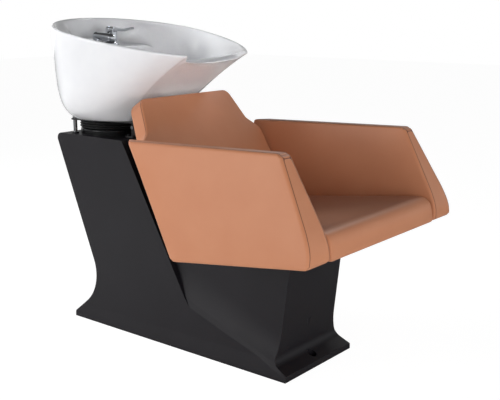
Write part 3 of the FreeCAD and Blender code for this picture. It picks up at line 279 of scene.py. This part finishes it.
# How the walls run: the share of the depth up to the lip, how much they taper and turn in, how sharp their
# turn into the floor is, and how square the rings are at the rear.
outside_reach, wall_taper, floor_turn = 0.98, 0.1, 0.85
outside_corner, inside_corner, front_corner = 5.0, 3.5, 3.5
deck_square, square_loss = 3.0, 0.6

# The tap deck lies at a share of the inside's depth; beside it the wall is a funnel down to another share.
tray_depth, tray_rear_x, tray_tilt = 0.24, -0.456, 5.7
niche_half, niche_edge, funnel_depth = 0.115, 0.03, 0.42

# The neck's saddle: its lowest height, its radius across, how softly the edge rolls, the crown on the edge,
# how far the front is set back outside and inside, and where it fades out at the horns and at the rear.
neck_low, neck_radius, neck_roll, neck_crown, neck_slopes = 0.806, 0.600, 0.015, 0.009, (1.3, 2.4)
horn_gap, horn_edge, neck_rear_x, neck_fade = 0.002, 0.010, -0.10, 0.03

# Points round a ring, which crowd where the arc meets the straight front, and rings from place to place.
arc_count, chord_count, crowding = 220, 70, 0.75
foot_steps, outside_steps, lip_steps = 8, 44, 11
tray_steps, deck_steps, inside_steps, sump_steps, bore_steps = 9, 16, 36, 10, 4
glaze_passes, glaze_keep, glaze_across, glaze_along = 8, 0.4, 0.2, 0.4


def between(pair, share):
    """A value at a share of the way between two."""
    return pair[0] + (pair[1] - pair[0]) * share


def eased(share):
    """A share that starts and ends softly: three times its square less twice its cube."""
    return share ** 2 * (3 - 2 * share)


def crowded(count):
    """Shares from 0 to 1 that crowd towards both ends: even ones less a part of their sine wave."""
    even = np.linspace(0, 1, count)
    return even - crowding * np.sin(2 * np.pi * even) / (2 * np.pi)


def bowl_ring(x, z, rear_x, half, front_x, front_half, rear_tilt, front_tilt, square=2.0):
    """A level or tilted egg-shaped ring with a straight front: half an ellipse in front of its widest place,
    cut off by the straight line, and half a superellipse behind it. Heights fall off along it as each half
    is tilted."""
    start = np.arcsin(front_half / half)
    angle = start + 2 * (np.pi - start) * crowded(arc_count)
    cosine, sine = np.cos(angle), np.sin(angle)
    behind = cosine < 0
    power = np.where(behind, 2 / square, 1.0)
    reach = np.where(behind, x - rear_x, (front_x - x) / np.cos(start))
    along = np.sign(cosine) * reach * np.abs(cosine) ** power
    fall = np.tan(np.radians(np.where(behind, rear_tilt, front_tilt)))
    arc = np.stack([x + along, half * np.sign(sine) * np.abs(sine) ** power, z - along * fall], axis=-1)
    return np.concatenate([arc, arc[-1] + (arc[0] - arc[-1]) * crowded(chord_count + 2)[1:-1, None]])


def bowl_level(top, base, depth, rear_tilt, square=2.0, corner=inside_corner):
    """The ring at a share of a bowl's depth: its walls taper a little, then turn in ever faster."""
    def full(share):
        return math.sqrt(1 - floor_turn * share ** corner) * (1 - wall_taper * share)

    wall = (full(depth) - full(1)) / (full(0) - full(1))
    shares = {"x": depth ** front_corner, "z": depth, "rear_x": 1 - wall, "half": 1 - wall, "front_x": depth,
              "front_half": depth ** front_corner}
    sizes = {name: top[name] + (base[name] - top[name]) * share for name, share in shares.items()}
    return bowl_ring(**sizes, rear_tilt=rear_tilt, front_tilt=rim_tilt * (1 - depth), square=square)


def steps(first, last, count):
    """Rings in even steps from one ring towards another, without the last."""
    return [first + (last - first) * step / count for step in range(count)]


def drain_ring(z):
    """A round ring at the drain, whose straight front is a short chord."""
    return bowl_ring(sump["x"], z, sump["x"] - drain_radius, drain_radius,
                     sump["x"] + drain_chord * drain_radius, drain_radius * math.sqrt(1 - drain_chord ** 2),
                     0.0, 0.0)


# From the drain outwards under the foot, up the outside, over the rounded lip, down the tray to the tap deck,
# forwards over the deck and down the inside to the drain again. In front, where there is no deck, the rings
# of tray and deck share one wall.
outside = [bowl_level(rim, foot, 1 - outside_reach * share, rim_tilt * outside_reach * share,
                      corner=outside_corner) for share in crowded(outside_steps)]
inner_rim = bowl_ring(rim["x"], rim["z"] - lip, rim["rear_x"] + 2 * lip, mouth["half"], mouth["front_x"],
                      mouth["front_half"], rim_tilt, rim_tilt)
over_lip = [outside[-1] + (inner_rim - outside[-1]) * (1 - math.cos(turn)) / 2 + (0, 0, lip * math.sin(turn))
            for turn in np.radians(np.linspace(*lip_turns, lip_steps))]
deck_edge = bowl_level(mouth, sump, tray_depth, tray_tilt, deck_square)
deck_rear = bowl_level(dict(mouth, rear_x=tray_rear_x), dict(sump, rear_x=tray_rear_x), tray_depth, tray_tilt)
deck = np.array(steps(inner_rim, deck_rear, tray_steps) + steps(deck_rear, deck_edge, deck_steps))
in_front = inner_rim[:, 0] > mouth["x"]
deck[:, in_front] = np.array(steps(inner_rim, deck_edge, len(deck)))[:, in_front]
depths = np.linspace(tray_depth, 1, inside_steps)
inside = [bowl_level(mouth, sump, depth, tray_tilt * (1 - depth) / (1 - tray_depth),
                     deck_square - square_loss * depth) for depth in depths]

# The deck is a niche round the tap: to both sides of it the wall runs as a funnel from the rim to the
# hollow's wall.
niche = np.concatenate([deck, inside])
funnel_end = len(deck) + np.searchsorted(depths, funnel_depth)
fallen = np.clip(np.arange(len(niche)) / funnel_end, 0, 1)[:, None]
drawn_in = (fallen * (2 - fallen))[:, :, None]
funnel = niche.copy()
funnel[:, :, :2] = inner_rim[:, :2] + (niche[funnel_end, :, :2] - inner_rim[:, :2]) * drawn_in
funnel[:, :, 2] = inner_rim[:, 2] + (niche[funnel_end, :, 2] - inner_rim[:, 2]) * fallen
funnel[funnel_end:] = niche[funnel_end:]
beside_niche = eased(np.clip((np.abs(funnel[:, :, 1:2]) - niche_half) / niche_edge, 0, 1))
hollow = niche + (funnel - niche) * beside_niche
skin = np.array(steps(drain_ring(foot["z"]), outside[0], foot_steps) + outside + over_lip + list(hollow[:-1])
                + steps(hollow[-1], drain_ring(sump["z"]), sump_steps)
                + steps(drain_ring(sump["z"]), drain_ring(foot["z"]), bore_steps))

# The neck recess: between the horns, what stands above a wide round saddle is eased down to it and set back
# along the sloping front, which rolls the edge for the neck.
over = (skin[:, :, 2] - neck_low - skin[:, :, 1] ** 2 / (2 * neck_radius)) / neck_roll
between_horns = eased(np.clip((mouth["front_half"] + horn_gap - np.abs(skin[:, :, 1])) / horn_edge, 0, 1))
between_horns = between_horns * np.clip((skin[:, :, 0] - neck_rear_x) / neck_fade, 0, 1)
lowered = between_horns * neck_roll * np.logaddexp(0, over)
lip_start = foot_steps + outside_steps
over_share = np.clip((np.arange(len(skin)) - lip_start) / (lip_steps - 1), 0, 1)[:, None]
skin[:, :, 2] += neck_crown * between_horns * np.sin(np.pi * over_share) - lowered
skin[:, :, 0] -= between(neck_slopes, over_share) * lowered

# Glaze rounds every edge: each point is drawn towards its neighbours along and across the rings.
for _ in range(glaze_passes):
    across = (np.roll(skin, 1, axis=0) + np.roll(skin, -1, axis=0)) / 2
    along = (np.roll(skin, 1, axis=1) + np.roll(skin, -1, axis=1)) / 2
    skin = glaze_keep * skin + glaze_across * across + glaze_along * along
bowl = mesh_object("bowl_china", skin.reshape(-1, 3), closed_faces(*skin.shape[:2]), china)
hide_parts("basin_bowl")
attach(bowl, "basin")

# Tap, hand spray and waste. Cast and turned brass with a polished chrome plate: the single lever mixer,
# the spray in its socket, the drain flange and the hair strainer.

# Polished chrome: a mirror with a cool tint, dulled a little by dried water in patches about 12 mm wide.
chrome, tree, at, shader = finish_of("polished_chrome", Metallic=1.0)
dried = noise(tree, at, size=0.012, detail=4.0)
drive(tree, shader, Base_Color=two_tone(tree, dried, "#CFD3D9", "#E2E4E8"),
      Roughness=ranged(tree, dried, low=0.04, high=0.14, first=0.35, last=0.8))
dress(chrome, "mixer_body", "mixer_cap", "mixer_lever", "hand_spray", "spray_socket", "waste_flange",
      "hair_strainer")

# Lock nuts. The nuts under the tap deck and under the drain hold the mixer, the spray's socket and the
# waste. They are turned brass, left plain.

# Turned brass: yellow metal with tool rings, browned a little in the rings.
brass, tree, at, shader = finish_of("turned_brass", Metallic=1.0)
rings = tool_rings(tree, at, pitch=0.00138175, distortion=0.8)
drive(tree, shader, Base_Color=two_tone(tree, rings, "#9C7A3F", "#C09A57"),
      Roughness=ranged(tree, rings, low=0.22, high=0.36))
dress(brass, "mixer_nut", "socket_nut", "waste_nut")

# Spray face. The disc of soft nozzles in the spray's head, moulded in dark grey silicone rubber and
# pressed in.

# Silicone nozzles: matt dark grey with small raised dots.
dot_pitch = 0.0025
nozzles, tree, at, shader = finish_of("silicone_nozzles", Roughness=0.5)
dots = add(tree, "TexVoronoi", {"Vector": at, "Scale": 1 / dot_pitch, "Randomness": 0.0})
dot = ranged(tree, dots.outputs["Distance"], low=0.0, high=1.0, first=0.15, last=0.4)
drive(tree, shader, Base_Color=two_tone(tree, dot, "#101113", "#3A3C40"),
      Normal=bumped(tree, dot, strength=0.4, depth=0.0006))
dress(nozzles, "spray_face")

# Boards. The seat's and the backrest's boards are birch plywood, sawn to shape and screwed to the steel
# under the upholstery. The seat's is left plain; the backrest's shows from behind and is stained black.

# Birch ply: long narrow grain along the unit, about 4 mm wide, pale brown or under a black stain.
grain_stretch = (0.08, 1.0, 1.0)
for name, dark, pale, board in (("birch_plywood", "#A98556", "#D2B384", "seat_board"),
                                ("stained_plywood", "#141211", "#262220", "back_board")):
    ply, tree, at, shader = finish_of(name, Roughness=0.6)
    along = add(tree, "Mapping", {"Vector": at, "Scale": grain_stretch})
    figure = noise(tree, along.outputs["Vector"], size=0.004, detail=4.0)
    drive(tree, shader, Base_Color=two_tone(tree, figure, dark, pale),
          Normal=bumped(tree, figure, strength=0.15, depth=0.0005))
    dress(ply, board)

# Seat cushion. Foam on the seat board under tan leathercloth: the pad turns down over the board's front
# as an apron and is stapled underneath. It is crowned in the middle and pulled in along its edges.

# A length too small to matter, which keeps divisors off zero.
tiny = 1e-12


def edge_lines(length, step=0.009, fine=(0.0, 0.0015, 0.0035, 0.006, 0.009, 0.013)):
    """Shares of a length where grid lines run: close together near both ends, a step apart between."""
    ends = np.array(fine)
    middle = np.linspace(fine[-1], length - fine[-1], max(2, round((length - 2 * fine[-1]) / step) + 1))
    return np.concatenate([ends[:-1], middle, length - ends[-2::-1]]) / length


def block_skin(*lines):
    """The skin of a unit block ruled by three sets of lines: its points (shares along three axes) and faces.

    Each of the six sides is a grid of four-cornered faces, and the sides share the points along their edges.
    """
    counts = [len(ruled) for ruled in lines]
    corners = []
    for axis in range(3):
        one, two = (axis + 1) % 3, (axis + 2) % 3
        i, j = np.meshgrid(np.arange(counts[one] - 1), np.arange(counts[two] - 1), indexing="ij")
        for end in (0, counts[axis] - 1):
            turns = ((0, 0), (1, 0), (1, 1), (0, 1)) if end else ((0, 0), (0, 1), (1, 1), (1, 0))
            quad = np.empty((i.size, 4, 3), int)
            for corner, (di, dj) in enumerate(turns):
                quad[:, corner, axis] = end
                quad[:, corner, one] = (i + di).ravel()
                quad[:, corner, two] = (j + dj).ravel()
            corners.append(quad)
    corners = np.concatenate(corners)
    knots, faces = np.unique(corners.reshape(-1, 3), axis=0, return_inverse=True)
    shares = np.stack([ruled[knots[:, axis]] for axis, ruled in enumerate(lines)], axis=-1)
    return shares, faces.reshape(-1, 4)


def rounded(shares, spans, radius, axes=(0, 1, 2)):
    """Rounds a unit block's edges: shares moved so that edges of these axes turn with a radius.

    Within the radius of two or three sides, the distance to the inner corner keeps its largest part as its
    length, which bends a square corner into a round one. Spans are the block's real lengths along its axes.
    """
    axes = list(axes)
    gap = np.minimum(shares, 1 - shares) * spans
    reach = np.zeros_like(gap)
    reach[:, axes] = np.clip(radius - gap[:, axes], 0, None)
    length = np.maximum(np.linalg.norm(reach, axis=1), tiny)
    bent = reach * (reach.max(axis=1) / length)[:, None]
    return shares + np.where(shares < 0.5, 1, -1) * (reach - bent) / spans


def swollen(piece, held, cap, pressure=4.0, frames=20):
    """Swells a padded piece as its foam does: cloth under pressure, held at some points, each move eased to
    a cap by the hyperbolic tangent."""
    group = piece.vertex_groups.new(name="held")
    group.add(np.flatnonzero(held).tolist(), 1.0, "ADD")
    count = len(piece.data.vertices)
    start = np.empty(count * 3)
    piece.data.vertices.foreach_get("co", start)
    cloth = piece.modifiers.new("swell", "CLOTH")
    cloth.settings.vertex_group_mass = "held"
    cloth.settings.use_pressure = True
    cloth.settings.uniform_pressure_force = pressure
    cloth.settings.effector_weights.gravity = 0.0
    cloth.point_cache.frame_start = 1
    cloth.point_cache.frame_end = frames
    for step in range(1, frames + 1):
        scene.frame_set(step)
    end = np.empty(count * 3)
    piece.evaluated_get(bpy.context.evaluated_depsgraph_get()).data.vertices.foreach_get("co", end)
    piece.modifiers.remove(cloth)
    piece.vertex_groups.remove(group)
    scene.frame_set(1)
    move = (end - start).reshape(-1, 3)
    far = np.maximum(np.linalg.norm(move, axis=1), tiny)
    soft = start.reshape(-1, 3) + move * (cap * np.tanh(far / cap) / far)[:, None]
    piece.data.vertices.foreach_set("co", soft.ravel())
    piece.data.update()


def upholstered(name, shares, faces, place, seam, held, cap):
    """A padded piece: the block's points in place, with their seam distances, swollen and smoothed."""
    piece = mesh_object(name, place(shares), faces, leathercloth)
    piece.data.attributes.new("seam", "FLOAT", "POINT").data.foreach_set("value", seam.astype(np.float32))
    swollen(piece, held, cap)
    smooth = piece.modifiers.new("smooth", "SUBSURF")
    smooth.levels = 1
    smooth.render_levels = 1
    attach(piece, "base")
    return piece


# Leathercloth: vinyl on knitted cloth, embossed with a pebbled grain about 1.2 mm across, drawn at 2 mm so
# that it shows. It is a soft tan with a low sheen. Along the seams it is painted dark brown as painted
# shade in their grooves, and small gathers run into the stitch line.
pebble_size = 0.002
leathercloth, tree, at, shader = finish_of("tan_leathercloth", Specular_IOR_Level=0.4, Sheen_Weight=0.05,
                                           Sheen_Roughness=0.4)
pebbles = add(tree, "TexVoronoi", {"Vector": at, "Scale": 1 / pebble_size, "Randomness": 1.0},
              feature="SMOOTH_F1").outputs["Distance"]
dye = noise(tree, at, size=0.09, detail=3.0)
creases = noise(tree, at, size=0.03, detail=4.0, Distortion=0.6)
stitch = add(tree, "Attribute", {}, attribute_name="seam").outputs["Fac"]
apart = add(tree, "Math", {0: stitch}, operation="ABSOLUTE").outputs["Value"]
groove_line = ranged(tree, apart, low=1.0, high=0.0, first=0.0003, last=0.0013,
                     interpolation_type="SMOOTHSTEP")
near_seam = ranged(tree, apart, low=1.0, high=0.0, first=0.0, last=0.018, interpolation_type="SMOOTHSTEP")
tan = two_tone(tree, dye, "#C27F5B", "#CB8B67")
# Painted shade: along the seam lines the tan is mixed to dark brown, standing in for shade in the seam
# grooves.
seam_painted_shade = add(tree, "Mix", {"Factor": groove_line, "A": tan, "B": linear("#5E2F1D")}, data_type="RGBA")
gathers = add(tree, "Math", {0: near_seam, 1: creases}, operation="MULTIPLY").outputs["Value"]
grain_bump = bumped(tree, pebbles, strength=0.08, depth=0.0006, invert=True)
gather_bump = bumped(tree, gathers, strength=0.35, depth=0.003, over=grain_bump)
seam_bump = bumped(tree, groove_line, strength=0.8, depth=0.0012, over=gather_bump, invert=True)
drive(tree, shader, Base_Color=seam_painted_shade.outputs["Result"],
      Roughness=ranged(tree, pebbles, low=0.38, high=0.50), Normal=seam_bump)

# The seat slopes up to the front. Along the slope, u runs forwards and w up from the top of the base.
# The pad's rear end leans as the backrest does. On each cushion a border is held, where its cover is sewn.
seat_origin, seat_angle, back_angle = (0.060, 0.300), 7.6, 32.4
seat_slope, lean_back = math.radians(seat_angle), math.tan(math.radians(back_angle - seat_angle))
seat_top, seat_rear, seat_front, apron_low = 0.0845, 0.089, 0.5565, 0.012
seat_thick, seat_half, seat_bend = 0.027, 0.2485, 0.020
seat_round, seat_swell, bend_held, lean_run = 0.009, 0.007, 0.03, 0.06
held_border = 0.012
middle_top, middle_front = seat_top - seat_thick / 2, seat_front - seat_thick / 2
flat_run = middle_front - seat_bend - seat_rear
seat_run = flat_run + seat_bend * math.pi / 2 + (middle_top - seat_bend - apron_low)
seat_spans = np.array([seat_run, 2 * seat_half, seat_thick])


def on_slope(u, y, w):
    """Points of the sloping seat frame as the unit's: a turn about the sitter's left, then a shift."""
    return np.stack([seat_origin[0] + u * math.cos(seat_slope) - w * math.sin(seat_slope), y,
                     seat_origin[1] + u * math.sin(seat_slope) + w * math.cos(seat_slope)], axis=-1)


def seat_place(shares):
    """The pad's middle runs forwards, turns down a quarter circle and hangs: a share of its run, its width
    and its thickness, measured square to that line. The rear end leans back as the backrest does."""
    run = shares[:, 0] * seat_run
    turn = np.clip((run - flat_run) / seat_bend, 0, math.pi / 2)
    hang = np.clip(run - flat_run - seat_bend * math.pi / 2, 0, None)
    out = (shares[:, 2] - 0.5) * seat_thick
    u = seat_rear + np.minimum(run, flat_run) + seat_bend * np.sin(turn) + out * np.sin(turn)
    w = middle_top - seat_bend * (1 - np.cos(turn)) - hang + out * np.cos(turn)
    u -= (1 - np.clip(run / lean_run, 0, 1)) * out * lean_back
    return on_slope(u, (shares[:, 1] - 0.5) * 2 * seat_half, w)


# Only the top swells, away from its border and from the bend. No seam shows: each point is 1 m from one.
seat_grid, seat_faces = block_skin(*(edge_lines(span) for span in seat_spans))
seat_gap = np.minimum(seat_grid, 1 - seat_grid) * seat_spans
seat_held = (seat_grid[:, 2] < 1) | (np.minimum(seat_gap[:, 0], seat_gap[:, 1]) < held_border)
seat_held |= seat_grid[:, 0] * seat_run > flat_run - bend_held
seat_line = np.ones(len(seat_grid))
seat_piece = upholstered("seat_pad", rounded(seat_grid, seat_spans, seat_round), seat_faces, seat_place,
                         seat_line, seat_held, seat_swell)
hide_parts("seat_cushion")

# Arms. Leaning side panels, thick below and thin above: foam over a wooden core under the same leathercloth.
# Inside and outside panels are sewn to a strip that runs round the front and the top, which a cross seam
# joins near the front's top. Bolts hold them to the frame.
arm_corners = {"rear_low": (0.195, 0.332), "front_low": (0.610, 0.387), "rear_top": (0.005, 0.614),
               "front_top": (0.500, 0.632)}
arm_inner, arm_outer, arm_inset = (0.2505, 0.262), (0.350, 0.305), 0.0015
arm_run, arm_rise, arm_deep = 0.47, 0.29, 0.065
arm_bow, bow_rises, bow_shares = 0.017, (0, 0.06, 0.12, 0.2, 0.32, 0.5, 1), (0, 0.38, 0.75, 0.96, 1, 0.73, 0)
arm_skew, arm_seam, cross_seam_low = 0.045, 0.0075, 0.013
arm_round, arm_corner_round, arm_swell = 0.009, 0.012, 0.004


def arm_edge(low, top, up):
    """Points (x, z) at shares of the way up a straight edge of the arm."""
    return np.stack([between(pair, up) for pair in zip(arm_corners[low], arm_corners[top])])


def arm_place(side):
    """Where an arm's block lies: shares along it, up it and through it are blended between its eight corners;
    the front bows forward below the middle, and the inside runs further back than the outside."""
    def place(shares):
        along, up, through = shares.T
        rear = arm_edge("rear_low", "rear_top", up)
        front = arm_edge("front_low", "front_top", up)
        front[0] += arm_bow * np.interp(up, bow_rises, bow_shares)
        skew = arm_skew * (1 - through)
        slope = (front[1] - rear[1]) / (front[0] - rear[0])
        rear = rear - skew * np.stack([np.ones_like(slope), slope])
        inner = between(arm_inner, up) + arm_inset
        outer = between(arm_outer, up) - arm_inset
        x = rear[0] + (front[0] - rear[0]) * along
        z = rear[1] + (front[1] - rear[1]) * along
        return np.stack([x, side * (inner + (outer - inner) * through), z], axis=-1)
    return place


arm_grid, arm_faces = block_skin(edge_lines(arm_run), edge_lines(arm_rise), edge_lines(arm_deep))
depth_at = between((arm_outer[0] - arm_inner[0], arm_outer[1] - arm_inner[1]), arm_grid[:, 1])
arm_spans = np.stack([np.full(len(arm_grid), arm_run), np.full(len(arm_grid), arm_rise), depth_at], axis=-1)
arm_gap = np.minimum(arm_grid, 1 - arm_grid) * arm_spans
rim_gap = np.minimum(arm_gap[:, 0], arm_gap[:, 1])
arm_held = (rim_gap < held_border) | (arm_gap[:, 2] > 0)
arm_line = np.where(rim_gap == 0, arm_gap[:, 2], -rim_gap) - arm_seam
cross_seam = np.abs((1 - arm_grid[:, 1]) * arm_rise - cross_seam_low)
on_front_strip = (arm_grid[:, 0] == 1) & (arm_line > 0)
arm_line = np.where(on_front_strip, np.minimum(arm_line, cross_seam), arm_line)
arm_shares = rounded(rounded(arm_grid, arm_spans, arm_round), arm_spans, arm_corner_round, axes=(0, 1))
for arm, side in (("right_arm", -1), ("left_arm", 1)):
    turned_faces = arm_faces if side < 0 else arm_faces[:, ::-1]
    arm_piece = upholstered(arm + "_pad", arm_shares, turned_faces, arm_place(side), arm_line, arm_held,
                            arm_swell)
    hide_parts(arm)

# Backrest. A low pad that leans back in front of the bowl: foam on a plywood board under leathercloth, its
# front panel sewn to a strip round the sides and the top. It narrows above the arms, and behind them it is
# tucked in.
back_origin, back_tilt = (0.13916, 0.38724), math.radians(back_angle)
back_height, back_thick, back_width, back_inset = 0.383, 0.054, 0.46, 0.001
shoulder, back_halves, back_tuck = (0.245, 0.282), (0.2520, 0.2570, 0.2125, 0.1835), 0.024
back_seam, back_round, back_corner_round, back_swell = 0.005, 0.008, 0.022, 0.007
back_spans = np.array([back_width, back_height, back_thick])


def back_place(shares):
    """Where the backrest's block lies: shares across its width there, up its slope and through it."""
    across, up, through = shares.T
    rise = back_inset + up * back_height
    half = np.interp(rise, (0, *shoulder, back_height), back_halves)
    half -= back_tuck * np.interp(rise, shoulder, (1, 0)) * (1 - through)
    out = (through - 1) * back_thick - back_inset
    return np.stack([back_origin[0] - rise * math.sin(back_tilt) + out * math.cos(back_tilt),
                     (across * 2 - 1) * half,
                     back_origin[1] + rise * math.cos(back_tilt) + out * math.sin(back_tilt)], axis=-1)


back_grid, back_faces = block_skin(*(edge_lines(span) for span in back_spans))
back_gap = np.minimum(back_grid, 1 - back_grid) * back_spans
border = np.minimum(back_gap[:, 0], back_gap[:, 1])
back_held = (border < held_border) | (back_grid[:, 2] < 1)
front_gap = (1 - back_grid[:, 2]) * back_thick
back_line = np.where(border == 0, front_gap, -border) - back_seam
back_shares = rounded(rounded(back_grid, back_spans, back_round), back_spans, back_corner_round, axes=(0, 1))
back_piece = upholstered("backrest_pad", back_shares, back_faces, back_place, back_line, back_held,
                         back_swell)
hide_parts("backrest")

# Floor, lights and camera. A white studio: a pale floor that keeps the shadow, a white surround that is dim
# overhead, wide lamps on the near side, in front, low down and behind, a lamp that shows only in
# reflections, and two narrow beams, into the bowl and onto its neck.
floor_reach, floor_glow, glow_share = 12.0, 1.13, 0.85
white_floor, tree, at, shader = finish_of("studio_floor", Roughness=0.9, Specular_IOR_Level=0.1)
mottle = noise(tree, at, size=0.25, detail=2.0)
drive(tree, shader, Base_Color=two_tone(tree, mottle, "#FBFBFB", "#FFFFFF"))
path = add(tree, "LightPath", {})
share = add(tree, "Math", {0: path.outputs["Is Camera Ray"], 1: glow_share}, operation="MULTIPLY")
glow = add(tree, "Emission", {"Color": (1.0, 1.0, 1.0, 1.0), "Strength": floor_glow})
lit = add(tree, "MixShader", {0: share.outputs["Value"], 1: shader.outputs["BSDF"],
                              2: glow.outputs["Emission"]})
tree.links.new(lit.outputs["Shader"], tree.nodes["Material Output"].inputs["Surface"])
floor_corners = np.array([(-1.0, -1.0, 0.0), (1.0, -1.0, 0.0), (1.0, 1.0, 0.0), (-1.0, 1.0, 0.0)])
floor = mesh_object("floor", floor_reach * floor_corners, np.array([(0, 1, 2, 3)]), white_floor)

# The surround is white to the camera. As light and in reflections it is bright at the horizon and dim
# overhead.
world = bpy.data.worlds.new("studio")
scene.world = world
world.use_nodes = True
tree = world.node_tree
path = add(tree, "LightPath", {})
towards = add(tree, "SeparateXYZ", {"Vector": add(tree, "TexCoord", {}).outputs["Generated"]})
soft = ranged(tree, towards.outputs["Z"], low=0.95, high=0.05, last=0.45)
bright = ranged(tree, towards.outputs["Z"], low=1.0, high=0.06, last=0.6)
mirrored = add(tree, "Mix", {"Factor": path.outputs["Is Glossy Ray"], "A": soft, "B": bright})
strength = add(tree, "Mix", {"Factor": path.outputs["Is Camera Ray"], "A": mirrored.outputs["Result"],
                             "B": 1.0})
sky = tree.nodes["Background"]
sky.inputs["Color"].default_value = (1.0, 1.0, 1.0, 1.0)
tree.links.new(strength.outputs["Result"], sky.inputs["Strength"])


def lamp(name, place, aim, size, watts, spread=math.pi):
    """A square soft lamp that points at a place, with its beam's angle."""
    light = bpy.data.lights.new(name, "AREA")
    light.size = size
    light.energy = watts
    light.spread = spread
    holder = bpy.data.objects.new(name, light)
    scene.collection.objects.link(holder)
    holder.location = place
    towards = np.array(aim) - np.array(place)
    flat = math.hypot(towards[0], towards[1])
    holder.rotation_euler = (math.atan2(flat, -towards[2]), 0.0, math.atan2(-towards[0], towards[1]))
    return holder


lamp("near_side", (-1.4, -3.0, 1.30), (0.0, 0.0, 0.5), 1.4, 21)
lamp("front", (2.9, -0.8, 0.75), (0.0, 0.0, 0.6), 1.4, 33).visible_glossy = False
lamp("low", (0.0, -2.4, 0.20), (-0.2, 0.0, 0.75), 1.0, 14).visible_glossy = False
lamp("behind", (-2.4, -0.9, 1.9), (0.1, -0.2, 0.6), 1.0, 50).visible_glossy = False
lamp("sparkle", (0.3, 1.8, 2.5), (-0.1, 0.0, 0.8), 0.6, 12).visible_diffuse = False
lamp("into_bowl", (-0.9, -1.3, 1.9), (-0.22, 0.1, 0.86), 0.3, 0.11, 0.4).visible_glossy = False
lamp("onto_neck", (1.3, -0.6, 0.80), (0.0, 0.0, 0.83), 0.15, 0.05, 0.22).visible_glossy = False

# The photograph's camera, as solved from the corners of the foot and the arms.
view_down, view_turn = 12.556, 38.754
view = bpy.data.cameras.new("view")
view.sensor_fit = "HORIZONTAL"
view.sensor_width = 36.0
view.lens = 62.95
camera = bpy.data.objects.new("view", view)
scene.collection.objects.link(camera)
camera.location = (1.6622, -1.8589, 0.9588)
camera.rotation_euler = (math.radians(90 - view_down), 0.0, math.radians(view_turn))
scene.camera = camera
scene.view_settings.view_transform = "Standard"
